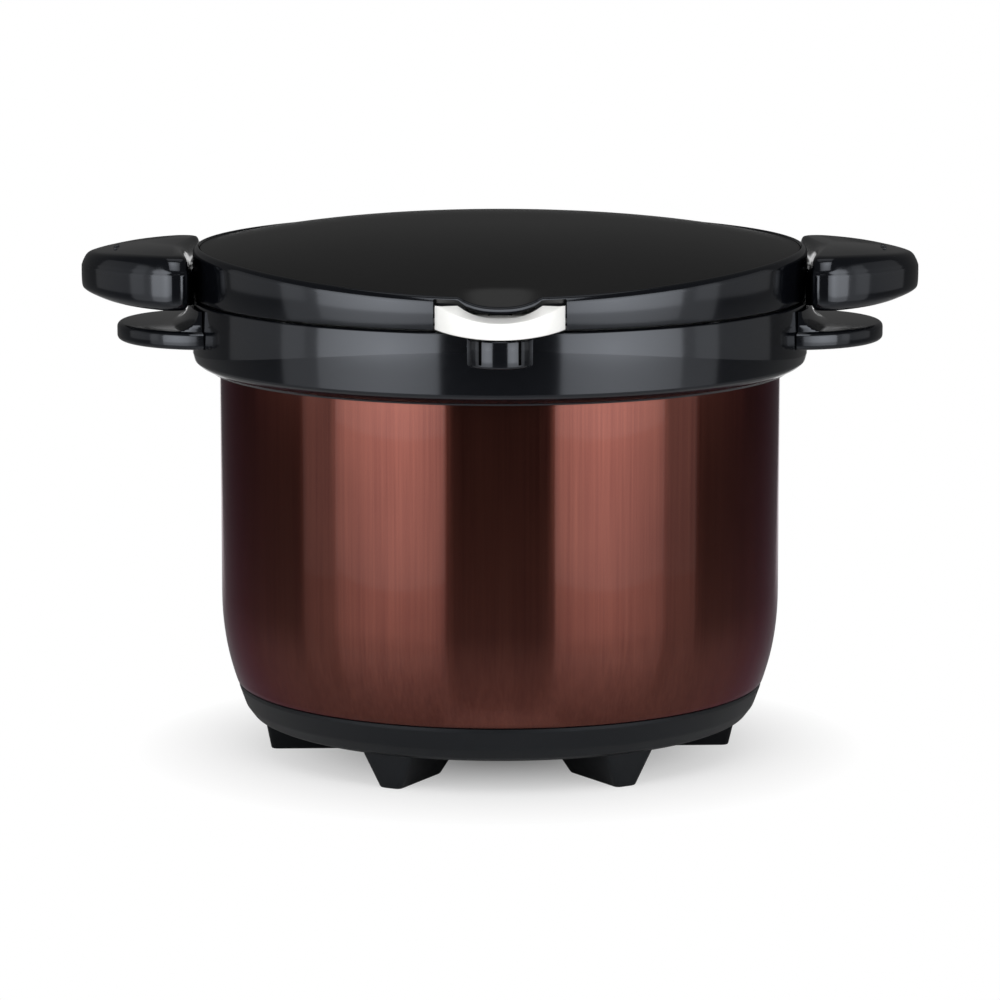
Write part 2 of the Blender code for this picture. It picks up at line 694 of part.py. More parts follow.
def collar_section(angle):
    crease = crease_height(angle)
    hug = BODY_RADIUS + GAP
    inside = COLLAR_RADIUS - COLLAR_WALL
    skirt = []
    for share in SKIRT_CURVE_SHARES:
        height = SKIRT_CURVE_TOP - share * (SKIRT_CURVE_TOP - SKIRT_HEIGHT)
        skirt.append((collar_face(angle, height), height))
    return (
        (COLLAR_INNER, COLLAR_TOP),
        (COLLAR_TOP_RADIUS - COLLAR_EDGE, COLLAR_TOP),
        (COLLAR_TOP_RADIUS, COLLAR_TOP - COLLAR_EDGE),
        (COLLAR_RADIUS, crease + CREASE_SOFTNESS),
        (SKIRT_TOP_RADIUS, crease - CREASE_SOFTNESS),
        *skirt,
        (SKIRT_RADIUS, SKIRT_HEIGHT),
        (SKIRT_RADIUS - SKIRT_LIP / 2, SKIRT_HEIGHT - SKIRT_LIP * SKIRT_LIP_BEND_SHARE),
        (hug, SKIRT_HEIGHT - SKIRT_LIP),
        (hug, SKIRT_HEIGHT - SKIRT_LIP + SKIRT_LIP_THICKNESS),
        (SKIRT_RADIUS - COLLAR_WALL, SKIRT_HEIGHT + SKIRT_LIP_THICKNESS),
        (inside, crease),
        (inside, COLLAR_UNDERSIDE),
        (COLLAR_INNER, COLLAR_UNDERSIDE),
    )


def foot_ring(angle, height, inner, outer, half_width):
    """Four corners of a foot, each cut off by the foot's edge width."""
    corners = []
    edge = FOOT_EDGE
    for radius, side in (
        (inner, edge - half_width), (inner + edge, -half_width),
        (outer - edge, -half_width), (outer, edge - half_width),
        (outer, half_width - edge), (outer - edge, half_width),
        (inner + edge, half_width), (inner, half_width - edge),
    ):
        outward = polar(radius, height, angle)
        across = polar(side, 0, angle + math.pi / 2)
        corners.append(outward + across)
    return corners


def make_base_cover():
    share_in, share_down = BASE_BEND_SHARES
    bend_radius = BASE_BELLY_RADIUS - share_in * (BASE_BELLY_RADIUS - BASE_EDGE_RADIUS)
    bend_height = BASE_BELLY_HEIGHT - share_down * (BASE_BELLY_HEIGHT - BASE_BOTTOM)
    edge = tuck_radius(TUCK_BOTTOM) - SHELL_STEP_DROP
    line = [
        (edge, BASE_TOP),
        (edge, BASE_TOP - BASE_LIP),
        (BASE_BELLY_RADIUS, BASE_BELLY_HEIGHT),
        (bend_radius, bend_height),
        (BASE_EDGE_RADIUS, BASE_BOTTOM),
        (0, BASE_BOTTOM),
    ]
    cover = turned("base_cover", sheet_section(line, BASE_WALL), MATT_BLACK)
    for number in range(FOOT_COUNT):
        angle = FOOT_TURN + math.tau * number / FOOT_COUNT
        buried = BASE_BOTTOM + BASE_WALL / 2
        rings = [
            foot_ring(angle, 0, FOOT_INNER_BOTTOM, FOOT_OUTER_BOTTOM, FOOT_HALF_BOTTOM),
            foot_ring(angle, buried, FOOT_INNER_TOP, FOOT_OUTER_TOP, FOOT_HALF_TOP),
        ]
        combine(cover, as_guide(stack("foot_%d" % (number + 1), rings, None)), "UNION")
    return cover


def make_base_fittings(base_cover):
    top = SHELL_FLOOR - GAP
    bottom = top - BRACKET_RING_DROP
    inner = BRACKET_RING_RADIUS - BRACKET_RING_WIDTH
    outer = BRACKET_RING_RADIUS
    section = ((inner, bottom), (outer, bottom), (outer, top), (inner, top))
    ring = turned("base_bracket_ring", section, STEEL, MIDDLE_STEPS)
    low = top - SEAL_CAP_HEIGHT
    cap = ((0, low), (SEAL_CAP_RADIUS, low), (SEAL_CAP_RADIUS, top), (0, top))
    turned("vacuum_seal_cap", cap, STEEL, SMALL_STEPS)
    radius = BRACKET_RING_RADIUS - BRACKET_RING_WIDTH / 2
    start = BASE_BOTTOM - GAP
    reach = top - start - GAP
    for number in range(BASE_SCREW_COUNT):
        angle = BASE_SCREW_TURN + math.tau * number / BASE_SCREW_COUNT
        place = polar(radius, start, angle)
        screwed("base_screw_%d" % (number + 1), [base_cover, ring], place, UP, reach, OVERRUN)


def head_seat(wall_radius):
    """Where a screw head's flat face clears the inside of a faceted wall."""
    flat_radius = wall_radius * math.cos(math.pi / ROUND_STEPS)
    return on_wall(flat_radius, SCREW_HEAD_RADIUS) - GAP


def wall_screws(names, targets, wall_radius, turns, height, reach):
    """Screws from inside a round wall, outwards into what stands on it."""
    for name, turn in zip(names, turns):
        place = polar(head_seat(wall_radius), height, turn)
        screwed(name, targets, place, polar(1, 0, turn), reach)


def mirrored(points, side):
    """Points of the right-hand side, or their mirror image on the left."""
    if side > 0:
        return points
    return [Vector((-point.x, point.y, point.z)) for point in reversed(points)]


def grip_outline(angle_steps):
    """The handle's edge seen from above, from back to front round the tip."""
    points = []
    for step in range(angle_steps + 1):
        angle = GRIP_SIDE_ANGLE * (1 - 2 * step / angle_steps)
        points.append((GRIP_CENTRE + GRIP_LENGTH * math.cos(angle), GRIP_HALF_WIDTH * math.sin(angle)))
    return points


def grip_ring(height, inset, limit, side):
    """One level of a body handle; limit is how far it stands off the collar."""
    outer = []
    for x, y in grip_outline(GRIP_STEPS):
        y *= 1 - inset / GRIP_HALF_WIDTH
        x = GRIP_CENTRE + (x - GRIP_CENTRE) * (1 - inset / GRIP_LENGTH)
        if limit is not None:
            x = min(x, on_wall(WALL_FACE, y) + limit)
        outer.append(Vector((x, y, height)))
    inner = [Vector((on_wall(WALL_FACE, p.y), p.y, height)) for p in reversed(outer[::2])]
    return mirrored(outer + inner, side)


def make_body_handle(name, side, collar):
    part = GRIP_ROUNDING * GRIP_ROUND_SHARE
    levels = [
        (GRIP_BOTTOM, GRIP_ROUNDING, None),
        (GRIP_BOTTOM + part, part, None),
        (GRIP_BOTTOM + GRIP_ROUNDING, 0, None),
        (GRIP_TOP - GRIP_ROUNDING, 0, None),
        (GRIP_TOP - part, part, None),
        (GRIP_TOP, GRIP_ROUNDING, None),
    ]
    for share in GRIP_FILLET_SHARES:
        rise = GRIP_FILLET * share
        limit = GRIP_LIP + GRIP_FILLET - math.sqrt(GRIP_FILLET ** 2 - (GRIP_FILLET - rise) ** 2)
        levels.append((GRIP_TOP + rise, GRIP_ROUNDING, limit))
    rings = [grip_ring(height, inset, limit, side) for height, inset, limit in levels]
    handle = stack(name, rings, GLOSS_BLACK)
    turns = [side * (math.pi / 2 + part * GRIP_SCREW_HALF_SPAN) for part in (-1, 1)]
    names = ["%s_screw_%d" % (name, number) for number in (1, 2)]
    inside = COLLAR_RADIUS - COLLAR_WALL
    wall_screws(names, [collar, handle], inside, turns, GRIP_SCREW_HEIGHT, GRIP_SCREW_REACH)


def keeper_ring(height, inset):
    """The boss from above: a half round whose back follows the collar."""
    radius = KEEPER_HALF_WIDTH - inset
    depth = KEEPER_DEPTH - inset
    points = []
    for step in range(KEEPER_STEPS + 1):
        angle = math.pi * step / KEEPER_STEPS
        points.append(Vector((-radius * math.cos(angle), -COLLAR_RADIUS - depth * math.sin(angle), height)))
    for share in KEEPER_BACK_SHARES:
        x = radius * share
        turn = math.asin(x / COLLAR_RADIUS)
        points.append(polar(collar_face(turn, height) + GAP, height, turn))
    return points


def make_keeper():
    rise, inset = [KEEPER_ROUNDING * share for share in KEEPER_ROUND_SHARES]
    levels = (
        (KEEPER_BOTTOM, KEEPER_ROUNDING),
        (KEEPER_BOTTOM + rise, inset),
        (KEEPER_BOTTOM + KEEPER_ROUNDING, 0),
        (crease_height(0) - CREASE_SOFTNESS, 0),
        (crease_height(0), 0),
        (KEEPER_TOP, 0),
    )
    keeper = stack("latch_keeper", [keeper_ring(*level) for level in levels], GLOSS_BLACK)
    half = KEEPER_POCKET_HALF_WIDTH
    upper = block("keeper_pocket", (-half, -KEEPER_POCKET_FRONT, KEEPER_POCKET_FLOOR),
                  (half, -KEEPER_LIP_FRONT, KEEPER_TOP + OVERRUN))
    lower = block("keeper_undercut", (-half, -KEEPER_LIP_FRONT - GAP, KEEPER_POCKET_FLOOR),
                  (half, -WALL_FACE - KEEPER_BACK, KEEPER_TOP - KEEPER_LIP_HEIGHT))
    combine(keeper, upper)
    combine(keeper, lower)


# Rear hinge

def knuckle_arc(start, end):
    """Points of the knuckle's round, by angle from the rear, in degrees."""
    points = []
    for step in range(KNUCKLE_ARC_STEPS + 1):
        angle = math.radians(start + (end - start) * step / KNUCKLE_ARC_STEPS)
        points.append((HINGE_Y + HINGE_KNUCKLE * math.cos(angle), HINGE_Z + HINGE_KNUCKLE * math.sin(angle)))
    return points


def make_hinge(collar):
    top = COLLAR_TOP - BRACKET_TOP_DROP
    outline = [(HINGE_ROOT, BRACKET_BOTTOM), *knuckle_arc(*BRACKET_ARC), (HINGE_ROOT, top)]
    bracket = prism("hinge_bracket", outline, -HINGE_HALF_WIDTH, HINGE_HALF_WIDTH, MATT_BLACK)
    slot = HINGE_ARM_HALF_WIDTH + HINGE_SIDE_GAP
    clear = block("hinge_slot", (-slot, COLLAR_RADIUS + BRACKET_PLATE, BRACKET_BOTTOM - OVERRUN),
                  (slot, HINGE_Y + HINGE_KNUCKLE + OVERRUN, HINGE_Z + HINGE_KNUCKLE + OVERRUN))
    combine(bracket, clear)
    reach = 2 * HINGE_KNUCKLE + OVERRUN
    bore([bracket], "collar_space", WALL_FACE, UP * BRACKET_BOTTOM, UP, reach, 2 * ROUND_STEPS)

    strap = LID_FACE + ARM_DEPTH
    underside = LID_BOTTOM + ARM_BOTTOM_RISE
    outline = [
        (HINGE_ROOT, underside),
        (COLLAR_RADIUS + BRACKET_PLATE + HINGE_SIDE_GAP, underside),
        *knuckle_arc(*ARM_ARC),
        (strap, ARM_TOP),
        (HINGE_ROOT, ARM_TOP),
    ]
    arm = prism("lid_hinge_arm", outline, -HINGE_ARM_HALF_WIDTH, HINGE_ARM_HALF_WIDTH, MATT_BLACK)
    reach = ARM_TOP - HINGE_Z + OVERRUN
    bore([arm], "lid_space", LID_FACE, UP * HINGE_Z, UP, reach, 2 * ROUND_STEPS)

    start = Vector((-HINGE_HALF_WIDTH, HINGE_Y, HINGE_Z))
    length = 2 * HINGE_HALF_WIDTH
    pin = ((0, 0), (HINGE_PIN_RADIUS, 0), (HINGE_PIN_RADIUS, length), (0, length))
    turned("hinge_pin", pin, STEEL, SMALL_STEPS, start, ACROSS)
    bore([bracket, arm], "hinge_bore", HINGE_PIN_RADIUS + RUNNING_GAP, start, ACROSS, length + OVERRUN)

    turns = (math.pi - HINGE_SCREW_TURN, math.pi + HINGE_SCREW_TURN)
    names = ("hinge_screw_1", "hinge_screw_2")
    inside = COLLAR_RADIUS - COLLAR_WALL - HINGE_SCREW_SETBACK
    wall_screws(names, [collar, bracket], inside, turns, HINGE_SCREW_HEIGHT, HINGE_SCREW_REACH)


# Lid

def scoop_dip(angle, radius):
    """How far the rim sinks under the finger scoop at the front."""
    if math.cos(angle) <= 0:
        return 0
    share = min(1, abs(radius * math.sin(angle)) / SCOOP_HALF_WIDTH)
    return SCOOP_DEPTH * (1 - share ** SCOOP_POWER)


def plain_rim(angle):
    return RIM_SIDE_HEIGHT - RIM_FRONT_DROP * max(0, math.cos(angle)) ** RIM_POWER


def rim_height(angle):
    return plain_rim(angle) - scoop_dip(angle, LID_RADIUS)


def band_section(angle):
    rim = rim_height(angle)
    centre = LID_RADIUS - RIM_ROUNDING
    roll = []
    for degrees in RIM_ARC_ANGLES:
        turn = math.radians(degrees)
        roll.append((centre + RIM_ROUNDING * math.cos(turn), rim - RIM_ROUNDING * (1 - math.sin(turn))))
    ledge_inner = DOME_SEAT_RADIUS - LEDGE_WIDTH
    inside = LID_RADIUS - LID_WALL
    return (
        (LID_RADIUS - LID_EDGE, LID_BOTTOM),
        (LID_RADIUS, LID_BOTTOM + LID_EDGE),
        *roll,
        (DOME_SEAT_RADIUS, rim - DOME_EDGE_DROP),
        (DOME_SEAT_RADIUS, rim - LEDGE_DROP),
        (ledge_inner, rim - LEDGE_DROP),
        (ledge_inner, rim - LEDGE_DROP - LEDGE_THICKNESS),
        (inside, rim - LEDGE_DROP - LEDGE_THICKNESS),
        (inside, LID_BOTTOM),
    )


def dome_height(angle, share):
    """The dome's top at a share of its radius."""
    edge = plain_rim(angle) - DOME_EDGE_DROP
    height = DOME_CREST - (DOME_CREST - edge) * share ** DOME_POWER
    blend = max(0, (share - SCOOP_START_SHARE) / (1 - SCOOP_START_SHARE))
    return height - scoop_dip(angle, LID_RADIUS) * blend


def dome_section(angle):
    shares = (0, *DOME_RADIUS_SHARES, 1)
    top = [(DOME_RADIUS * share, dome_height(angle, share)) for share in shares]
    under = [(radius, height - DOME_WALL) for radius, height in reversed(top)]
    return top + under


def foam_section(angle):
    limit = FOAM_RADIUS / DOME_RADIUS
    bottom = PLATE_DISH_HEIGHT + PLATE_WALL + GAP
    shares = [share for share in (0, *DOME_RADIUS_SHARES) if share < limit] + [limit]
    top = [(DOME_RADIUS * share, dome_height(angle, share) - DOME_WALL - 2 * GAP) for share in shares]
    return top + [(FOAM_RADIUS, bottom), (0, bottom)]


def make_lid_inside(band):
    swept("lid_foam", foam_section, even_angles(), FOAM)
    line = [
        (PLATE_RADIUS, PLATE_UNDERSIDE),
        (PLATE_FLANGE_INNER, PLATE_UNDERSIDE),
        (PLATE_DISH_RADIUS, PLATE_DISH_HEIGHT),
        (0, PLATE_DISH_HEIGHT),
    ]
    plate = turned("lid_inner_plate", sheet_section(line, PLATE_WALL), GREY_PLASTIC)
    outer = LIP_RADIUS - GAP
    inner = outer - GASKET_WIDTH
    low = LIP_TOP + GAP
    high = PLATE_UNDERSIDE - GAP
    gasket = ((inner, low + GASKET_EDGE), (inner + GASKET_EDGE, low), (outer - GASKET_EDGE, low),
              (outer, low + GASKET_EDGE), (outer, high), (inner, high))
    turned("lid_gasket", gasket, SILICONE, MIDDLE_STEPS)
    for number in range(LID_SCREW_COUNT):
        angle = LID_SCREW_TURN + math.tau * number / LID_SCREW_COUNT
        foot = PLATE_UNDERSIDE + PLATE_WALL + GAP
        height = rim_height(angle) - LEDGE_DROP - LEDGE_THICKNESS / 2 - foot
        section = ((0, 0), (LID_BOSS_RADIUS, 0), (LID_BOSS_RADIUS, height), (0, height))
        place = polar(LID_SCREW_RADIUS, foot, angle)
        boss = turned("lid_boss_%d" % (number + 1), section, None, SMALL_STEPS, place, UP)
        combine(band, as_guide(boss), "UNION")
        place = polar(LID_SCREW_RADIUS, PLATE_UNDERSIDE - GAP, angle)
        screwed("lid_screw_%d" % (number + 1), [plate, band], place, UP, LID_SCREW_REACH)
    return plate


def ear_point_heights(x):
    share = (x - EAR_INNER) / EAR_LENGTH
    low = EAR_BOTTOM + EAR_BOTTOM_RISE * share ** 2
    high = EAR_TOP - EAR_TOP_FALL * share ** 2
    return low, high


def ear_inner_edge(y):
    return EAR_INNER - EAR_BOW * (y / EAR_HALF_WIDTH) ** 2


def ear_outline(with_neck):
    """The lid handle's edge from above, from back to front round the tip."""
    points = []
    for step in range(EAR_STEPS + 1):
        angle = EAR_SIDE_ANGLE * (1 - 2 * step / EAR_STEPS)
        across = math.sin(angle)
        y = EAR_HALF_WIDTH * math.copysign(abs(across) ** EAR_WIDTH_POWER, across)
        points.append((EAR_INNER + EAR_LENGTH * math.cos(angle) ** EAR_LENGTH_POWER, y, True))
    end = points[-1][1]
    corner = []
    for share_x, share_y in EAR_CORNER_SHARES:
        y = end + EAR_CORNER * share_y
        corner.append((ear_inner_edge(y) + EAR_CORNER * share_x, y))
    points += [(x, y, True) for x, y in corner]
    inner_y = EAR_HALF_WIDTH * EAR_INNER_SHARE
    for y in (-inner_y, *[-EAR_NECK_HALF_WIDTH * share for share in EAR_NECK_SHARES], inner_y):
        if with_neck and abs(y) <= EAR_NECK_HALF_WIDTH:
            points.append((on_wall(LID_FACE, y), y, False))
        else:
            points.append((ear_inner_edge(y), y, True))
    points += [(x, -y, True) for x, y in reversed(corner)]
    return points


def ear_ring(level, side):
    share = EAR_LEVEL_SHARES[level]
    inset = EAR_INSETS[level]
    ring = []
    middle = Vector((EAR_MIDDLE, 0))
    for x, y, can_shrink in ear_outline(level < EAR_NECK_LEVELS):
        low, high = ear_point_heights(x)
        flat = Vector((x, y))
        if can_shrink:
            away = flat - middle
            flat = middle + away * (1 - inset / away.length)
        ring.append(Vector((flat.x, flat.y, low + (high - low) * share)))
    return mirrored(ring, side)


def make_ear(name, side, band):
    rings = [ear_ring(level, side) for level in range(len(EAR_LEVEL_SHARES))]
    ear = stack(name, rings, GLOSS_BLACK)
    turns = [side * (math.pi / 2 + part * EAR_SCREW_HALF_SPAN) for part in (-1, 1)]
    names = ["%s_screw_%d" % (name, number) for number in (1, 2)]
    inside = LID_RADIUS - LID_WALL
    wall_screws(names, [band, ear], inside, turns, EAR_SCREW_HEIGHT, EAR_SCREW_REACH)


# Latch

def notch_top(x):
    """The notch's ceiling in the lid's ring, under the rolled rim."""
    angle = math.asin(x / LID_RADIUS)
    return rim_height(angle) - NOTCH_RIM - NOTCH_RIM_SHARE * scoop_dip(angle, LID_RADIUS)


def lever_stations():
    count = LEVER_STATIONS
    return [LEVER_HALF_WIDTH * step / count for step in range(-count, count + 1)]


def make_notch(band, plate):
    reach = -LID_RADIUS + NOTCH_REACH
    front = -LEVER_FRONT - OVERRUN
    xs = [-NOTCH_HALF_WIDTH, *lever_stations(), NOTCH_HALF_WIDTH]
    outline = [(-NOTCH_HALF_WIDTH, LID_BOTTOM - OVERRUN)]
    outline += [(x, notch_top(x)) for x in xs]
    outline += [(NOTCH_HALF_WIDTH, LID_BOTTOM - OVERRUN)]
    rings = [[Vector((x, y, z)) for x, z in outline] for y in (reach, front)]
    combine(band, as_guide(stack("latch_notch", rings, None)))
    half = HOUSING_HALF_WIDTH + GAP
    opening = block("plate_notch", (-half, front, LID_BOTTOM - OVERRUN),
                    (half, reach + HOUSING_BACK + 2 * GAP, HOUSING_TOP))
    combine(plate, opening)


def lever_front(x):
    """The crescent's front edge: a circle through its ends and its middle."""
    end = on_wall(LID_RADIUS, LEVER_HALF_WIDTH) + LEVER_END_PROUD
    sagitta = LEVER_FRONT - end
    radius = (LEVER_HALF_WIDTH ** 2 + sagitta ** 2) / (2 * sagitta)
    return -(LEVER_FRONT - radius + math.sqrt(radius ** 2 - x ** 2))


def lever_ring(x):
    share = (x / LEVER_HALF_WIDTH) ** 2
    front = lever_front(x)
    top = notch_top(x) - LEVER_TOP_GAP - LEVER_TOP_END_GAP * share
    face = min(top, LATCH_Z + LEVER_FACE_TOP + LEVER_FACE_RISE * share)
    bottom = LATCH_Z - LEVER_LIP - LEVER_SLOPE * 2 + LEVER_LIP_RISE * share
    band = -on_wall(LID_RADIUS, x)
    shelf = max(front + LEVER_SLOPE * 2, band - LEVER_SHELF_SETBACK)
    heel = LATCH_Z + LEVER_HEEL_TOP
    return [
        Vector((x, front, bottom)),
        Vector((x, front + LEVER_SLOPE, face - LEVER_EDGE)),
        Vector((x, front + LEVER_SLOPE * 2, face)),
        Vector((x, shelf + LEVER_SLOPE, top - LEVER_SLOPE / 2)),
        Vector((x, max(band - GAP, shelf + LEVER_WALL / 2), top - LEVER_STEP_DROP)),
        Vector((x, LATCH_Y - LEVER_HEEL_BACK, heel - LEVER_EDGE)),
        Vector((x, LATCH_Y - LEVER_HEEL_BACK / 2, heel)),
        Vector((x, LATCH_Y + LEVER_HEEL_BACK / 2, heel)),
        Vector((x, LATCH_Y + LEVER_HEEL_BACK * LEVER_HEEL_BEND_SHARE, LATCH_Z)),
        Vector((x, LATCH_Y + LEVER_HEEL_BACK / 2, LEVER_UNDERSIDE)),
        Vector((x, front + LEVER_WALL + LEVER_SLOPE, LEVER_UNDERSIDE)),
        Vector((x, front + LEVER_WALL, bottom)),
    ]


def make_latch(band, plate):
    pivot = Vector((0, LATCH_Y, LATCH_Z))
    make_notch(band, plate)
    lever = stack("latch_lever", [lever_ring(x) for x in lever_stations()], WHITE, pivot)
    slot = SPRING_LENGTH / 2 + GAP * 2
    front = LATCH_Y - SPRING_RADIUS - SPRING_SPACE
    combine(lever, block("spring_slot", (-slot, front, LEVER_UNDERSIDE - OVERRUN),
                         (slot, LATCH_Y + LEVER_HEEL_BACK + OVERRUN, HOUSING_TOP + OVERRUN)))
    start = Vector((-HOUSING_HALF_WIDTH, LATCH_Y, LATCH_Z))
    length = 2 * HOUSING_HALF_WIDTH
    pin = ((0, 0), (LATCH_PIN_RADIUS, 0), (LATCH_PIN_RADIUS, length), (0, length))
    turned("latch_pin", pin, STEEL, SMALL_STEPS, start, ACROSS)

    back = -LID_RADIUS + NOTCH_REACH
    outline = (
        (LATCH_Y - HOUSING_FRONT, LEVER_UNDERSIDE),
        (back + HOUSING_BACK, LEVER_UNDERSIDE),
        (back + HOUSING_BACK, HOUSING_TOP),
        (LATCH_Y - HOUSING_FRONT, HOUSING_TOP),
    )
    housing = prism("latch_housing", outline, -HOUSING_HALF_WIDTH, HOUSING_HALF_WIDTH, MATT_BLACK)
    combine(housing, block("housing_space", (-NOTCH_HALF_WIDTH, LATCH_Y - OVERRUN, LEVER_UNDERSIDE - OVERRUN),
                           (NOTCH_HALF_WIDTH, back, HOUSING_TOP + OVERRUN)))
    bore([lever, housing], "latch_bore", LATCH_PIN_RADIUS + RUNNING_GAP, start, ACROSS, length + OVERRUN)

    inner = LATCH_PIN_RADIUS + RUNNING_GAP
    half = SPRING_LENGTH / 2
    coil = ((inner, -half), (SPRING_RADIUS, -half), (SPRING_RADIUS, half), (inner, half))
    turned("latch_spring", coil, STEEL, SMALL_STEPS, pivot, ACROSS)
    make_hook(pivot)


def make_hook(pivot):
    tip = -KEEPER_LIP_FRONT - HOOK_NOSE_REACH - GAP
    back = tip - HOOK_NOSE_REACH - GAP
    front = back - HOOK_THICKNESS
    top = LEVER_UNDERSIDE - GAP
    foot = top - HOOK_FOOT
    outline = (
        (front, HOOK_BOTTOM),
        (tip - HOOK_NOSE / 2, HOOK_BOTTOM),
        (tip, HOOK_BOTTOM + HOOK_NOSE / 2),
        (tip, HOOK_BOTTOM + HOOK_NOSE),
        (back, HOOK_BOTTOM + HOOK_NOSE),
        (back, foot),
        (back + HOOK_FOOT_BACK, foot),
        (back + HOOK_FOOT_BACK, top),
        (front - HOOK_FOOT_FRONT, top),
        (front - HOOK_FOOT_FRONT, foot),
        (front, foot),
    )
    prism("latch_hook", outline, -HOOK_HALF_WIDTH, HOOK_HALF_WIDTH, GLOSS_BLACK, pivot)


# Pot

def make_pot():
    corner = [
        (POT_RADIUS - share_r * POT_CORNER, POT_BOTTOM + share_z * POT_CORNER)
        for share_r, share_z in POT_CORNER_SHARES
    ]
    line = [
        (POT_RADIUS + POT_RIM_FLARE, POT_RIM_HEIGHT - POT_WALL),
        (POT_RADIUS, POT_RIM_HEIGHT - POT_WALL),
        *corner,
        (0, POT_BOTTOM),
    ]
    turned("pot", sheet_section(line, POT_WALL), STEEL)
    low = POT_DISC_BOTTOM
    high = low + POT_DISC_THICKNESS
    disc = ((0, low), (POT_DISC_RADIUS - POT_DISC_EDGE, low), (POT_DISC_RADIUS, low + POT_DISC_EDGE),
            (POT_DISC_RADIUS, high), (0, high))
    turned("pot_base_disc", disc, ALUMINIUM, MIDDLE_STEPS)


def bracket_ring(height, side):
    inner = POT_RADIUS + GAP
    outer = inner + BRACKET_THICKNESS
    turns = [BRACKET_HALF_ANGLE * (2 * step / BRACKET_STEPS - 1) for step in range(BRACKET_STEPS + 1)]
    points = [polar(outer, height, math.pi / 2 + turn) for turn in turns]
    points += [polar(inner, height, math.pi / 2 + turn) for turn in reversed(turns)]
    return mirrored(points, side)


def bail_points(side):
    """The bail's wire from one pin end to the other."""
    bend = PIVOT_HEIGHT + BAIL_RISE
    half = [
        (PIVOT_RADIUS, BAIL_PIN_END, PIVOT_HEIGHT),
        (PIVOT_RADIUS, BAIL_HALF_WIDTH - BAIL_WIRE_RADIUS, PIVOT_HEIGHT),
        (PIVOT_RADIUS, BAIL_HALF_WIDTH, PIVOT_HEIGHT + BAIL_WIRE_RADIUS),
        (PIVOT_RADIUS, BAIL_HALF_WIDTH, bend - 2 * BAIL_WIRE_RADIUS),
        (PIVOT_RADIUS - BAIL_WIRE_RADIUS, BAIL_HALF_WIDTH, bend),
        (BAIL_BAR_RADIUS + 4 * BAIL_WIRE_RADIUS, BAIL_HALF_WIDTH, BAIL_BAR_HEIGHT - BAIL_WIRE_RADIUS),
        (BAIL_BAR_RADIUS + BAIL_WIRE_RADIUS, BAIL_HALF_WIDTH - BAIL_WIRE_RADIUS, BAIL_BAR_HEIGHT),
        (BAIL_BAR_RADIUS, BAIL_BAR_HALF_WIDTH, BAIL_BAR_HEIGHT),
    ]
    return [(side * x, y, z) for x, y, z in half] + [(side * x, -y, z) for x, y, z in reversed(half)]


def make_bail(name, side, pivot):
    curve = bpy.data.curves.new(name, "CURVE")
    curve.dimensions = "3D"
    curve.bevel_depth = BAIL_WIRE_RADIUS
    curve.bevel_resolution = 1
    curve.resolution_u = 1
    curve.render_resolution_u = 0
    curve.use_fill_caps = True
    points = bail_points(side)
    spline = curve.splines.new("POLY")
    spline.points.add(len(points) - 1)
    for point, place in zip(spline.points, points):
        point.co = (*(Vector(place) - pivot), 1)
    made = bpy.data.objects.new(name, curve)
    made.location = pivot
    curve.materials.append(STEEL)
    bpy.context.collection.objects.link(made)


def make_pot_handle(word, side):
    rings = [bracket_ring(height, side) for height in (BRACKET_LOW, PIVOT_HEIGHT)]
    bracket = stack("pot_bracket_" + word, rings, STEEL)
    pivot = Vector((side * PIVOT_RADIUS, 0, PIVOT_HEIGHT))
    length = BARREL_OUTER - BARREL_INNER
    section = ((0, 0), (BARREL_RADIUS, 0), (BARREL_RADIUS, length), (0, length))
    for number, start in ((1, BARREL_INNER), (2, -BARREL_OUTER)):
        place = pivot + BACK * start
        barrel = turned("pot_barrel_%s_%d" % (word, number), section, None, SMALL_STEPS, place, BACK)
        combine(bracket, as_guide(barrel), "UNION")
    bore([bracket], "bail_bore_" + word, BAIL_WIRE_RADIUS + BARREL_GAP,
         pivot - BACK * BARREL_OUTER, BACK, 2 * BARREL_OUTER + OVERRUN)
    make_bail("pot_bail_" + word, side, pivot)
    bar = Vector((side * BAIL_BAR_RADIUS, 0, BAIL_BAR_HEIGHT))
    inner = BAIL_WIRE_RADIUS + RUNNING_GAP
    outer = BAIL_GRIP_RADIUS
    half = BAIL_GRIP_HALF_LENGTH
    edge = BAIL_GRIP_EDGE
    grip = ((inner, -half), (outer - edge, -half), (outer, edge - half),
            (outer, half - edge), (outer - edge, half), (inner, half))
    turned("pot_grip_" + word, grip, MATT_BLACK, SMALL_STEPS, bar, BACK)


# Glass lid of the pot

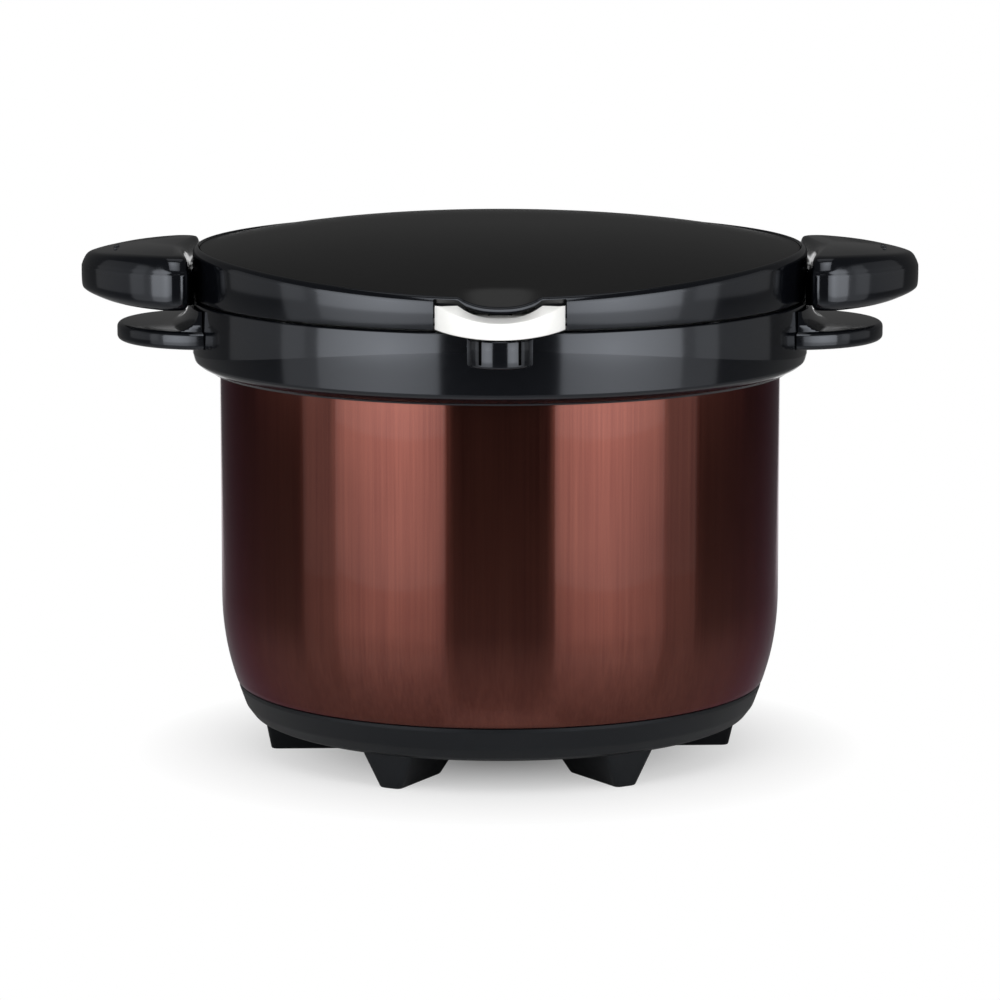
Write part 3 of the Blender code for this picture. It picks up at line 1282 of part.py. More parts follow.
def make_pot_lid():
    hole = SCREW_RADIUS + SCREW_HOLE_GAP
    line = []
    for share in (1, *reversed(GLASS_SHARES)):
        line.append((GLASS_RADIUS * share, GLASS_EDGE + GLASS_RISE * (1 - share ** 2)))
    line.append((hole, GLASS_EDGE + GLASS_RISE))
    top = [(radius, height + GLASS_THICKNESS) for radius, height in reversed(line)]
    turned("pot_lid_glass", line + top, GLASS, MIDDLE_STEPS)

    ring = (
        (LID_RING_SKIRT_RADIUS, RING_BOTTOM - LID_RING_SKIRT),
        (LID_RING_SKIRT_RADIUS, RING_BOTTOM),
        (LID_RING_RADIUS, RING_BOTTOM),
        (LID_RING_RADIUS, RING_BOTTOM + LID_RING_HEIGHT),
        (LID_RING_RADIUS - LID_RING_WALL, RING_BOTTOM + LID_RING_HEIGHT),
        (LID_RING_RADIUS - LID_RING_WALL, RING_BOTTOM + LID_RING_THICKNESS),
        (LID_RING_INNER, RING_BOTTOM + LID_RING_THICKNESS),
        (LID_RING_INNER, RING_BOTTOM),
        (LID_RING_SKIRT_RADIUS - LID_RING_WALL, RING_BOTTOM),
        (LID_RING_SKIRT_RADIUS - LID_RING_WALL, RING_BOTTOM - LID_RING_SKIRT),
    )
    turned("pot_lid_ring", ring, STEEL, MIDDLE_STEPS)

    foot = GLASS_CREST + GAP
    stem = foot + KNOB_HEIGHT * KNOB_STEM_SHARE
    rim = foot + KNOB_HEIGHT * KNOB_RIM_SHARE
    bore_top = foot + KNOB_HEIGHT * KNOB_BORE_SHARE
    knob = (
        (hole, foot),
        (KNOB_FOOT_RADIUS, foot),
        (KNOB_STEM_RADIUS, (foot + stem) / 2),
        (KNOB_STEM_RADIUS, stem),
        (KNOB_RADIUS, (stem + rim) / 2),
        (KNOB_RADIUS, rim),
        (KNOB_RADIUS * KNOB_CROWN_SHARE, foot + KNOB_HEIGHT),
        (0, foot + KNOB_HEIGHT),
        (0, bore_top),
        (hole, bore_top),
    )
    turned("pot_lid_knob", knob, MATT_BLACK, MIDDLE_STEPS)
    start = GLASS_EDGE + GLASS_RISE - GAP
    screw("pot_lid_screw", Vector((0, 0, start)), UP, bore_top - start - GAP)


def main():
    make_outer_shell()
    make_inner_shell()
    collar = swept("collar", collar_section, even_angles(), GLOSS_BLACK)
    base_cover = make_base_cover()
    make_base_fittings(base_cover)
    make_body_handle("body_handle_left", -1, collar)
    make_body_handle("body_handle_right", 1, collar)
    make_keeper()
    band = swept("lid_band", band_section, front_angles(), GLOSS_BLACK)
    swept("lid_cover", dome_section, front_angles(), SATIN_BLACK)
    plate = make_lid_inside(band)
    make_ear("lid_handle_left", -1, band)
    make_ear("lid_handle_right", 1, band)
    make_hinge(collar)
    make_latch(band, plate)
    make_pot()
    make_pot_handle("left", -1)
    make_pot_handle("right", 1)
    make_pot_lid()


main()
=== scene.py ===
from math import asin, atan2, copysign, cos, dist, hypot, pi, radians, sin, sqrt, tan, tau

import bmesh
import bpy
from mathutils import Matrix, Vector


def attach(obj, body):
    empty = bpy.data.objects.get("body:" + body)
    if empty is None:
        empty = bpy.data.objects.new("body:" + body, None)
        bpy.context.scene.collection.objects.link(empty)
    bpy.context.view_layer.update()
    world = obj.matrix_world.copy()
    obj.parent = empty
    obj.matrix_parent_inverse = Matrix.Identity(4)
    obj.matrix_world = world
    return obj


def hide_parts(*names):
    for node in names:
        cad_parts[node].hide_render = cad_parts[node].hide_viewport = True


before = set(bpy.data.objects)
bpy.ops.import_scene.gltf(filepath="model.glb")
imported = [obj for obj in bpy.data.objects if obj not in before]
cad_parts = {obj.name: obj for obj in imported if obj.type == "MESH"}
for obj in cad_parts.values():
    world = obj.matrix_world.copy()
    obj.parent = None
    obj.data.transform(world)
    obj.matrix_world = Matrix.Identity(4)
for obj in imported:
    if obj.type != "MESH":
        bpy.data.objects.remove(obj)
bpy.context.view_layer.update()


# Steel outside of the vacuum wall
# A deep-drawn sheet of stainless steel, brushed from top to bottom and dipped in a clear brown lacquer.
# Its neck is welded to the well inside, and its foot steps in above the base cover.

MERGE = 0.000001
SHELL_RADIUS = 0.1259
SHEET = 0.0008
NECK_RADIUS = 0.1225
NECK_TOP = 0.2026
SHOULDER_HIGH, SHOULDER_LOW = 0.2010, 0.1960
TUCK_TOP, TUCK_LOW = 0.0750, 0.0330
TUCK_DEPTH, TUCK_POWER = 0.0066, 2.28
TUCK_STEPS = 24
FOOT_STEP, FOOT_STEP_IN = 0.0009, 0.0038
SHELL_FLOOR, SHELL_FLOOR_RADIUS = 0.0255, 0.1050
SHELL_CORNER = 0.0030
SHOULDER_ROUNDING, FLOOR_ROUNDING = 0.0020, 0.0006
LACQUER_DARK, LACQUER_LIGHT = (0.082, 0.023, 0.017), (0.120, 0.038, 0.027)


def spaced(low, high, steps):
    """Evenly spaced values from low to high."""
    return [low + (high - low) * step / steps for step in range(steps + 1)]


def rounded(points, radii, steps=5, closed=False):
    """Rounds the corners of a line of points, each with its own radius."""
    places = [Vector(point) for point in points]
    count = len(places)
    line = []
    for index, corner in enumerate(places):
        radius = radii if isinstance(radii, float) else radii[index]
        if not radius or not closed and index in (0, count - 1):
            line.append(corner)
            continue
        back = places[index - 1] - corner
        on = places[(index + 1) % count] - corner
        half = back.angle(on) / 2
        reach = min(radius / tan(half), back.length * 0.49, on.length * 0.49)
        radius = reach * tan(half)
        centre = corner + (back.normalized() + on.normalized()).normalized() * (radius / sin(half))
        start = corner + back.normalized() * reach - centre
        end = corner + on.normalized() * reach - centre
        turn = pi - 2 * half
        for share in spaced(0, 1, steps):
            first = sin((1 - share) * turn) / sin(turn)
            second = sin(share * turn) / sin(turn)
            line.append(centre + start * first + end * second)
    return [tuple(place) for place in line]


def spun(name, line, steps=192, closed=False):
    """Draws a line of (radius, height) points and spins it round the Z axis."""
    bpy.ops.mesh.primitive_plane_add(size=SHEET)
    made = bpy.context.object
    made.name = name
    bpy.ops.object.mode_set(mode="EDIT")
    bpy.ops.mesh.merge(type="CENTER")
    bpy.ops.transform.translate(value=(line[0][0], 0, line[0][1]))
    points = list(line) + list(line[:1]) if closed else line
    for (radius, height), (next_radius, next_height) in zip(points, points[1:]):
        way = (next_radius - radius, 0, next_height - height)
        bpy.ops.mesh.extrude_region_move(TRANSFORM_OT_translate={"value": way})
    bpy.ops.mesh.select_all(action="SELECT")
    bpy.ops.mesh.remove_doubles(threshold=MERGE)
    bpy.ops.mesh.spin(steps=steps, angle=tau, center=(0, 0, 0), axis=(0, 0, 1))
    bpy.ops.mesh.select_all(action="SELECT")
    bpy.ops.mesh.remove_doubles(threshold=MERGE)
    bpy.ops.mesh.normals_make_consistent(inside=False)
    bpy.ops.object.mode_set(mode="OBJECT")
    return made


def picked(*pieces):
    """Selects these pieces alone, with the first one active."""
    bpy.ops.object.select_all(action="DESELECT")
    for piece in pieces:
        piece.select_set(True)
    bpy.context.view_layer.objects.active = pieces[0]


def applied(piece, kind, **settings):
    """Finishes a piece with one modifier, which is applied."""
    picked(piece)
    step = piece.modifiers.new(kind.lower(), kind)
    for setting, value in settings.items():
        setattr(step, setting, value)
    bpy.ops.object.modifier_apply(modifier=step.name)
    return piece


def walled(piece, thickness):
    return applied(piece, "SOLIDIFY", thickness=thickness, offset=-1, use_even_offset=True)


def edged(piece, width, segments=3, degrees=30):
    return applied(piece, "BEVEL", width=width, segments=segments, limit_method="ANGLE",
                   angle_limit=radians(degrees))


def fitted(piece, body, slot, finish, *nodes, degrees=30):
    """Gives a piece its finish, hands it to its body, and hides the CAD parts it stands for."""
    picked(piece)
    bpy.ops.object.shade_smooth_by_angle(angle=radians(degrees))
    piece.data.materials.clear()
    piece.data.materials.append(finish)
    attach(piece, body)
    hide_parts(*nodes)


class Wire:
    """A value on its way through a material. Sums and products add Math nodes."""

    def __init__(self, tree, socket=None):
        self.tree = tree
        self.socket = socket

    def add(self, kind, settings, values, output=0):
        """Adds a node: its settings first, then the value or the wire of each socket."""
        node = self.tree.nodes.new(kind)
        for setting, value in settings.items():
            setattr(node, setting, value)
        for name, value in values.items():
            if isinstance(value, Wire):
                self.tree.links.new(value.socket, node.inputs[name])
            else:
                node.inputs[name].default_value = value
        return Wire(self.tree, node.outputs[output])

    def maths(self, operation, first, second):
        return self.add("ShaderNodeMath", {"operation": operation}, {0: first, 1: second})

    def __add__(self, other):
        return self.maths("ADD", self, other)

    def __sub__(self, other):
        return self.maths("SUBTRACT", self, other)

    def __rsub__(self, other):
        return self.maths("SUBTRACT", other, self)

    def __mul__(self, other):
        return self.maths("MULTIPLY", self, other)

    def __truediv__(self, other):
        return self.maths("DIVIDE", self, other)

    __radd__ = __add__
    __rmul__ = __mul__

    def stretched(self, scale):
        return self.add("ShaderNodeMapping", {}, {"Vector": self, "Scale": scale})

    def noise(self, scale, detail=2.0, roughness=0.5):
        return self.add("ShaderNodeTexNoise", {}, {
            "Vector": self, "Scale": scale, "Detail": detail, "Roughness": roughness})

    def between(self, low, high):
        """Goes from one colour to another as this value goes from 0 to 1."""
        settings = {"data_type": "RGBA"}
        return self.add("ShaderNodeMix", settings, {0: self, 6: (*low, 1), 7: (*high, 1)}, 2)

    def spread(self, low, high):
        """Widens the part of this value from low to high to run from 0 to 1."""
        return self.add("ShaderNodeMapRange", {}, {0: self, 1: low, 2: high})

    def bump(self, strength, depth):
        return self.add("ShaderNodeBump", {}, {"Strength": strength, "Distance": depth, "Height": self})


def blank_finish(name, **constants):
    """A new material: its shader, with the constants set on it, and the piece's coordinates."""
    finish = bpy.data.materials.new(name)
    finish.use_nodes = True
    shader = finish.node_tree.nodes["Principled BSDF"]
    for socket, value in constants.items():
        shader.inputs[socket.replace("_", " ")].default_value = value
    place = Wire(finish.node_tree).add("ShaderNodeTexCoord", {}, {}, "Object")
    return finish, shader, place


def lead(shader, **wires):
    for socket, wire in wires.items():
        wire.tree.links.new(wire.socket, shader.inputs[socket.replace("_", " ")])


def shell_radius(height):
    share = max(0, (TUCK_TOP - height) / (TUCK_TOP - TUCK_LOW))
    return SHELL_RADIUS - TUCK_DEPTH * share ** TUCK_POWER


def brown_lacquer():
    finish, shader, place = blank_finish(
        "brown_lacquered_steel", Metallic=0.97, Anisotropic=0.85, Anisotropic_Rotation=0.25,
        Coat_Roughness=0.04, Coat_IOR=1.5, Coat_Weight=0.2, Specular_Tint=(0.62, 0.46, 0.54, 1))
    hair = place.stretched((900, 900, 9)).noise(1.0, 3.0, 0.6)
    streak = place.stretched((160, 160, 5)).noise(1.0, 2.0)
    cloud = place.noise(14.0, 2.0)
    tone = (hair * 0.45 + streak * 0.25 + cloud * 0.30).spread(0.36, 0.64)
    lead(shader, Base_Color=tone.between(LACQUER_DARK, LACQUER_LIGHT),
         Roughness=0.15 + 0.06 * hair, Normal=hair.bump(0.04, 0.00002))
    return finish


tuck = [(shell_radius(height), height) for height in spaced(TUCK_TOP, TUCK_LOW, TUCK_STEPS)]
foot_edge = shell_radius(TUCK_LOW) - FOOT_STEP
foot_height = TUCK_LOW - FOOT_STEP
top_part = [(NECK_RADIUS, NECK_TOP), (NECK_RADIUS, SHOULDER_HIGH), (SHELL_RADIUS, SHOULDER_LOW), tuck[0]]
low_part = [
    tuck[-1], (foot_edge, foot_height), (foot_edge - FOOT_STEP_IN, foot_height),
    (SHELL_FLOOR_RADIUS + SHELL_CORNER, SHELL_FLOOR + SHELL_CORNER),
    (SHELL_FLOOR_RADIUS, SHELL_FLOOR), (0, SHELL_FLOOR),
]
shell_line = rounded(top_part, SHOULDER_ROUNDING)[:-1] + tuck[:-1] + rounded(low_part, FLOOR_ROUNDING, 3)
brown_shell = walled(spun("brown_shell", shell_line), SHEET)
fitted(brown_shell, "container", "brown_steel", brown_lacquer(), "outer_shell")


# Steel well
# The drawn inside of the vacuum wall, left as bare stainless steel, finely brushed round its axis.
# It hangs from its lip on the neck of the outside, and the air between the two is pumped out.

WELL_RADIUS = 0.1214
LIP_RADIUS = 0.1242
LIP_UNDERSIDE = 0.2029
WELL_FLOOR = 0.0372
WELL_CORNER = 0.0210
WELL_CORNER_RISE = 0.0230
WELL_ARC_STEPS = 12
WELL_STRAIGHT, LIP_ROUNDING = 0.1900, 0.0008
STEEL_DARK, STEEL_LIGHT = (0.50, 0.50, 0.50), (0.68, 0.68, 0.67)


def round_brushed(name, dark, light, roughness):
    """Metal brushed on a lathe: fine rings round the Z axis."""
    finish, shader, place = blank_finish(name, Metallic=1.0)
    flat = place.add("ShaderNodeVectorMath", {"operation": "MULTIPLY"}, {0: place, 1: (1, 1, 0)})
    radius = place.add("ShaderNodeVectorMath", {"operation": "LENGTH"}, {0: flat}, "Value")
    height = place.add("ShaderNodeSeparateXYZ", {}, {0: place}, "Z")
    ring = place.add("ShaderNodeCombineXYZ", {}, {0: radius * 1400, 1: 0.0, 2: height * 1400})
    line = ring.noise(1.0, 3.0, 0.6)
    cloud = place.noise(30.0, 2.0)
    tone = (0.6 * line + 0.4 * cloud).spread(0.36, 0.64)
    lead(shader, Base_Color=tone.between(dark, light),
         Roughness=roughness - 0.05 + 0.10 * line, Normal=line.bump(0.15, 0.00002))
    return finish


def quarter_arc(steps):
    """The cosine and sine of even steps over a quarter turn."""
    return [(cos(turn), sin(turn)) for turn in spaced(0, pi / 2, steps)]


bare_steel = round_brushed("brushed_stainless_steel", STEEL_DARK, STEEL_LIGHT, 0.26)
lip_line = [(LIP_RADIUS, LIP_UNDERSIDE), (WELL_RADIUS, LIP_UNDERSIDE), (WELL_RADIUS, WELL_STRAIGHT)]
corner_line = [(WELL_RADIUS - WELL_CORNER * (1 - across), WELL_FLOOR + WELL_CORNER_RISE * (1 - up))
               for across, up in quarter_arc(WELL_ARC_STEPS)]
well_line = rounded(lip_line, LIP_ROUNDING, 4) + corner_line + [(0, WELL_FLOOR)]
steel_well = walled(spun("steel_well", well_line), SHEET)
fitted(steel_well, "container", "steel", bare_steel, "inner_shell")


# Base cover and its six feet
# One moulding in dark plastic, matt from a fine spark texture, that closes the underside.
# Its lip meets the steel at a thin dark joint, and the feet are ribs with cut-off corners.

COVER_LIP = 0.0016
COVER_TOP = 0.0318
BELLY_RADIUS, BELLY_HEIGHT = 0.1154, 0.0220
COVER_EDGE_RADIUS, COVER_BOTTOM = 0.1083, 0.0158
COVER_BEND = (0.1119, 0.0174)
COVER_WALL = 0.0025
COVER_ROUNDINGS = (0, 0.002, 0.006, 0.004, 0.003, 0)
FOOT_COUNT = 6
FOOT_TURN = radians(32.3)
FOOT_LOW = (0.0660, 0.1040, 0.0053)
FOOT_HIGH = (0.0560, 0.1070, 0.0130)
FOOT_ROUNDING = 0.0022
FOOT_BURIED = 0.0170
FOOT_LEVELS = ((0, 0.0006), (0.0002, 0.0002), (0.0007, 0), (FOOT_BURIED, 0))


def outward(radius, height, angle):
    """A point at an angle from the front, where +X is at a quarter turn."""
    return Vector((radius * sin(angle), -radius * cos(angle), height))


def raised(name, rings):
    """Raises a flat face level by level through rings that each have as many points."""
    bpy.ops.mesh.primitive_circle_add(vertices=len(rings[0]), radius=SHEET, fill_type="NGON")
    made = bpy.context.object
    made.name = name
    bpy.ops.object.mode_set(mode="EDIT")
    for index, ring in enumerate(rings):
        if index:
            bpy.ops.mesh.extrude_region_move()
        shape = bmesh.from_edit_mesh(made.data)
        end = next(face for face in shape.faces if face.select)
        for point, place in zip(end.verts, ring):
            point.co = place
        bmesh.update_edit_mesh(made.data)
    bpy.ops.mesh.select_all(action="SELECT")
    bpy.ops.mesh.normals_make_consistent(inside=False)
    bpy.ops.object.mode_set(mode="OBJECT")
    return made


def joined(pieces):
    picked(*pieces)
    bpy.ops.object.join()
    return pieces[0]


def carved(piece, other, operation="DIFFERENCE"):
    """Cuts another shape out of a piece, or melts it in, and takes the other away."""
    applied(piece, "BOOLEAN", object=other, operation=operation, solver="EXACT")
    bpy.data.objects.remove(other)
    return piece


def moulded(name, dark, light, roughness, grain, depth, coat=0.0, shine=(1, 1, 1), ior=1.5):
    """Moulded plastic: slow flow marks in its colour and gloss, and a fine skin."""
    finish, shader, place = blank_finish(
        name, IOR=ior, Coat_Weight=coat, Coat_Roughness=0.06, Specular_Tint=(*shine, 1))
    flow = place.stretched((11, 11, 23)).noise(1.0, 3.0)
    skin = place.noise(grain, 2.0, 0.55)
    tone = (0.7 * flow + 0.3 * skin).spread(0.35, 0.65)
    lead(shader, Base_Color=tone.between(dark, light),
         Roughness=roughness - 0.04 + 0.05 * flow + 0.03 * skin, Normal=skin.bump(0.25, depth))
    return finish


def foot_ring(height, inner, outer, half, angle):
    corners = []
    for radius, side in ((inner, -half), (outer, -half), (outer, half), (inner, half)):
        corners.append(outward(radius, height, angle) + outward(side, 0, angle + pi / 2))
    return rounded(corners, FOOT_ROUNDING, 4, closed=True)


matt_black = moulded("matt_black_plastic", (0.0035, 0.0038, 0.0046), (0.0055, 0.0060, 0.0070),
                     roughness=0.44, grain=1500.0, depth=0.00003, shine=(0.86, 0.92, 1.0), ior=1.32)
cover_line = [
    (foot_edge, COVER_TOP), (foot_edge, COVER_TOP - COVER_LIP), (BELLY_RADIUS, BELLY_HEIGHT),
    COVER_BEND, (COVER_EDGE_RADIUS, COVER_BOTTOM), (0, COVER_BOTTOM),
]
base_tray = walled(spun("base_tray", rounded(cover_line, COVER_ROUNDINGS)), COVER_WALL)
feet = []
for number in range(FOOT_COUNT):
    angle = FOOT_TURN + tau * number / FOOT_COUNT
    rings = []
    for height, inset in FOOT_LEVELS:
        share = height / FOOT_BURIED
        inner, outer, half = [low + (high - low) * share for low, high in zip(FOOT_LOW, FOOT_HIGH)]
        rings.append(foot_ring(height, inner + inset, outer - inset, half - inset, angle))
    feet.append(raised("foot_%d" % (number + 1), rings))
carved(base_tray, joined(feet), "UNION")
fitted(base_tray, "container", "matt_black", matt_black, "base_cover", degrees=35)


# Fittings under the steel floor
# A steel ring welded under the outside's floor takes three pan-head screws through the base cover.
# A small steel cap closes the point where the wall was pumped out.

UP = (0, 0, 1)
SCREW_RADIUS = 0.0018
HEAD_HEIGHT = 0.0020
HEAD_LINE = ((0, -HEAD_HEIGHT), (0.0018, -HEAD_HEIGHT), (0.0027, -0.0016), (0.0030, -0.0008), (0.0030, 0))
RECESS_HALVES = (0.0016, 0.00035)
RECESS_START, RECESS_DEPTH = -0.0030, 0.0012
THREAD_PITCH, THREAD_DEPTH = 0.0007, 0.0003
BASE_SCREW_RADIUS, BASE_SCREW_SEAT, BASE_SCREW_REACH = 0.0400, 0.0155, 0.0094
BASE_SCREW_TURNS = [radians(66) + tau * number / 3 for number in range(3)]


def block(low, high):
    """A box that cuts: added at its middle and size, with its place in its mesh."""
    middle = [(a + b) / 2 for a, b in zip(low, high)]
    size = [b - a for a, b in zip(low, high)]
    bpy.ops.mesh.primitive_cube_add(size=1, location=middle, scale=size)
    bpy.ops.object.transform_apply(location=True, rotation=True, scale=True)
    return bpy.context.object


def laid(piece, place, direction):
    """Turns a piece made round the Z axis along a direction, and moves it to its place."""
    turn = Vector(direction).to_track_quat("Z", "Y").to_matrix().to_4x4()
    piece.data.transform(Matrix.Translation(place) @ turn)
    return piece


def make_screw(reach):
    """A pan-head screw whose head ends at the origin and whose thread runs up to its reach."""
    line = [*HEAD_LINE, (SCREW_RADIUS - THREAD_DEPTH, 0)]
    height = THREAD_PITCH
    while height < reach - THREAD_PITCH:
        line += [(SCREW_RADIUS, height), (SCREW_RADIUS - THREAD_DEPTH, height + THREAD_PITCH / 2)]
        height += THREAD_PITCH
    line += [(SCREW_RADIUS / 3, reach), (0, reach)]
    screw = spun("screw", line, 24)
    depth = -HEAD_HEIGHT + RECESS_DEPTH
    for half_x, half_y in (RECESS_HALVES, RECESS_HALVES[::-1]):
        carved(screw, block((-half_x, -half_y, RECESS_START), (half_x, half_y, depth)))
    return screw


def screws_from(name, radius, height, turns, reach, body, way=None):
    """Models one screw and copies it round the Z axis, each along one way or else outwards."""
    pattern = make_screw(reach)
    for number, turn in enumerate(turns, 1):
        node = name.replace("#", str(number))
        copy = bpy.data.objects.new(node + "_pan_head", pattern.data.copy())
        bpy.context.collection.objects.link(copy)
        laid(copy, outward(radius, height, turn), way or outward(1, 0, turn))
        fitted(copy, body, "steel", screw_steel, node)
    bpy.data.objects.remove(pattern)


def refinished(finish, *nodes):
    """Gives a finish to pieces that keep their CAD mesh."""
    for node in nodes:
        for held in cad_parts[node].material_slots:
            held.material = finish


screw_steel = round_brushed("plated_screw_steel", (0.42, 0.42, 0.43), (0.60, 0.60, 0.60), 0.32)
screws_from("base_screw_#", BASE_SCREW_RADIUS, BASE_SCREW_SEAT, BASE_SCREW_TURNS, BASE_SCREW_REACH,
            "container", UP)
refinished(bare_steel, "base_bracket_ring", "vacuum_seal_cap")


# Collar
# A glossy black moulding pressed over the joint of the two steel walls. A crease runs round it,
# highest at the front and back, and below it the skirt draws in to the brown steel.

COLLAR_RADIUS = 0.1380
COLLAR_TOP, COLLAR_TOP_RADIUS = 0.2062, 0.1375
COLLAR_INNER, COLLAR_WALL = 0.1245, 0.0030
CREASE_SIDE, CREASE_RISE = 0.1818, 0.0164
SKIRT_TOP_RADIUS, SKIRT_CURVE_TOP = 0.1375, 0.1798
SKIRT_RADIUS, SKIRT_HEIGHT = 0.1309, 0.1752
SKIRT_LIP, SKIRT_LIP_THICKNESS = 0.0010, 0.0014
SKIRT_CURVE_SHARES = (0, 0.2, 0.4, 0.6, 0.8)
SKIRT_HUG, SKIRT_LIP_TILT = 0.1262, 0.0002
CREASE_ROUNDING, CURVE_ROUNDING = 0.0008, 0.0003
SKIRT_ROUNDINGS = (0.0004, 0.0002, 0.0003)


def spun_to(name, section_at, steps, closed=True):
    """Spins the front's section, then moves each point to the section of its own angle."""
    front = section_at(0.0)
    made = spun(name, front, steps, closed)
    at_angle = {}
    for point in made.data.vertices:
        radius = hypot(point.co.x, point.co.y)
        angle = atan2(point.co.x, -point.co.y)
        key = round(angle, 4)
        if key not in at_angle:
            at_angle[key] = section_at(angle)
        near = min(range(len(front)), key=lambda i: dist(front[i], (radius, point.co.z)))
        moved_radius, moved_height = at_angle[key][near]
        point.co = outward(moved_radius, moved_height, angle)
    return made


def crease_height(angle):
    return CREASE_SIDE + CREASE_RISE * cos(angle) ** 2


def collar_face(angle, height):
    crease = crease_height(angle)
    fall = min(1, max(0, (crease - height) / (crease - SKIRT_CURVE_TOP)))
    share = min(1, max(0, (SKIRT_CURVE_TOP - height) / (SKIRT_CURVE_TOP - SKIRT_HEIGHT)))
    above = COLLAR_RADIUS - fall * (COLLAR_RADIUS - SKIRT_TOP_RADIUS)
    return above - share ** 2 * (SKIRT_TOP_RADIUS - SKIRT_RADIUS)


def collar_section(angle):
    crease = crease_height(angle)
    inside = COLLAR_RADIUS - COLLAR_WALL
    underside = COLLAR_TOP - COLLAR_WALL
    lip_low = SKIRT_HEIGHT - SKIRT_LIP
    heights = [SKIRT_CURVE_TOP - share * (SKIRT_CURVE_TOP - SKIRT_HEIGHT) for share in SKIRT_CURVE_SHARES]
    points = (
        (COLLAR_INNER, COLLAR_TOP), (COLLAR_TOP_RADIUS, COLLAR_TOP), (COLLAR_RADIUS, crease),
        *[(collar_face(angle, height), height) for height in heights],
        (SKIRT_RADIUS, SKIRT_HEIGHT), (SKIRT_RADIUS - SKIRT_LIP / 2, lip_low + SKIRT_LIP_TILT),
        (SKIRT_HUG, lip_low), (SKIRT_HUG, lip_low + SKIRT_LIP_THICKNESS),
        (SKIRT_RADIUS - COLLAR_WALL, SKIRT_HEIGHT + SKIRT_LIP_THICKNESS),
        (inside, crease), (inside, underside), (COLLAR_INNER, underside),
    )
    face = [CREASE_ROUNDING] * 2 + [CURVE_ROUNDING] * len(heights)
    return rounded(points, (0, *face, *SKIRT_ROUNDINGS, 0, 0, 0, 0, 0), 4, closed=True)


gloss_black = moulded("gloss_black_plastic", (0.0018, 0.0021, 0.0030), (0.0028, 0.0032, 0.0044),
                      roughness=0.11, grain=260.0, depth=0.00001, shine=(0.86, 0.91, 1.0))
collar_ring = spun_to("collar_ring", collar_section, 192)
fitted(collar_ring, "container", "gloss_black", gloss_black, "collar")


# Handles on the collar
# Flat half-oval plates of the same glossy plastic. Each is moulded with a hollow sweep up its root,
# and two screws hold it from inside the collar.

WALL_FACE = 0.1383
GRIP_CENTRE = 0.1300
GRIP_LENGTH, GRIP_HALF_WIDTH = 0.0420, 0.0460
GRIP_SIDE_ANGLE = radians(82)
GRIP_BOTTOM, GRIP_TOP = 0.1870, 0.1950
GRIP_ROUNDING, GRIP_SWEEP, GRIP_LIP = 0.0022, 0.0090, 0.0016
GRIP_STEPS = 64
GRIP_ARC_STEPS = 6
SWEEP_STEPS = 12
HANDLE_SCREW_SEAT, HANDLE_SCREW_HEIGHT, HANDLE_SCREW_REACH = 0.13437, 0.1910, 0.0090
HANDLE_SCREW_TURNS = (radians(-9), radians(9))


def on_wall(radius, aside):
    return sqrt(radius ** 2 - aside ** 2)


def mirrored(points, side):
    """Points of the right-hand side, or their mirror image on the left."""
    return [(side * x, y, z) for x, y, z in points]


def grip_ring(height, inset, limit, side):
    outer = []
    for angle in spaced(GRIP_SIDE_ANGLE, -GRIP_SIDE_ANGLE, GRIP_STEPS):
        x = GRIP_CENTRE + (GRIP_LENGTH - inset) * cos(angle)
        y = (GRIP_HALF_WIDTH - inset) * sin(angle)
        if limit is not None:
            x = min(x, on_wall(WALL_FACE, y) + limit)
        outer.append((x, y, height))
    inner = [(on_wall(WALL_FACE, y), y, height) for _, y, _ in reversed(outer[::2])]
    return mirrored(outer + inner, side)


def make_grip(name, side, node):
    levels = [(GRIP_BOTTOM + GRIP_ROUNDING * (1 - across), GRIP_ROUNDING * (1 - up), None)
              for across, up in quarter_arc(GRIP_ARC_STEPS)]
    levels += [(GRIP_BOTTOM + GRIP_TOP - height, inset, None) for height, inset, _ in reversed(levels)]
    for share in spaced(0, 1, SWEEP_STEPS)[1:]:
        rise = GRIP_SWEEP * share ** 2
        limit = GRIP_LIP + GRIP_SWEEP - sqrt(GRIP_SWEEP ** 2 - (GRIP_SWEEP - rise) ** 2)
        levels.append((GRIP_TOP + rise, GRIP_ROUNDING, limit))
    grip = raised(name, [grip_ring(height, inset, limit, side) for height, inset, limit in levels])
    fitted(grip, "container", "gloss_black", gloss_black, node, degrees=40)


for word, side in (("left", -1), ("right", 1)):
    make_grip("grip_" + word, side, "body_handle_" + word)
    turns = [side * (pi / 2 + turn) for turn in HANDLE_SCREW_TURNS]
    screws_from("body_handle_%s_screw_#" % word, HANDLE_SCREW_SEAT, HANDLE_SCREW_HEIGHT, turns,
                HANDLE_SCREW_REACH, "container")


# Keeper
# A hollow half-round boss moulded in glossy black on the front of the collar.
# The latch's hook drops into its pocket and catches behind the lip along the pocket's mouth.

KEEPER_HALF_WIDTH, KEEPER_DEPTH = 0.0139, 0.0130
KEEPER_TOP, KEEPER_BOTTOM = 0.2042, 0.1924
KEEPER_ROUNDING, KEEPER_ARC_STEPS = 0.0012, 5
KEEPER_LEVELS = ((0.1960, 0), (0.1975, 0), (0.1982, 0), (0.2000, 0), (KEEPER_TOP - 0.0005, 0),
                 (KEEPER_TOP - 0.0001, 0.0002), (KEEPER_TOP, 0.0005))
KEEPER_STEPS, KEEPER_BACK_STEPS = 40, 16
KEEPER_GAP = 0.0003
POCKET_HALF_WIDTH = 0.0090
POCKET_FRONT, POCKET_LIP = -0.1488, -0.1413
POCKET_BACK, POCKET_FLOOR = -0.1394, 0.1940
POCKET_LIP_UNDERSIDE, POCKET_OPEN, POCKET_OVERLAP = 0.2005, 0.21, 0.0003


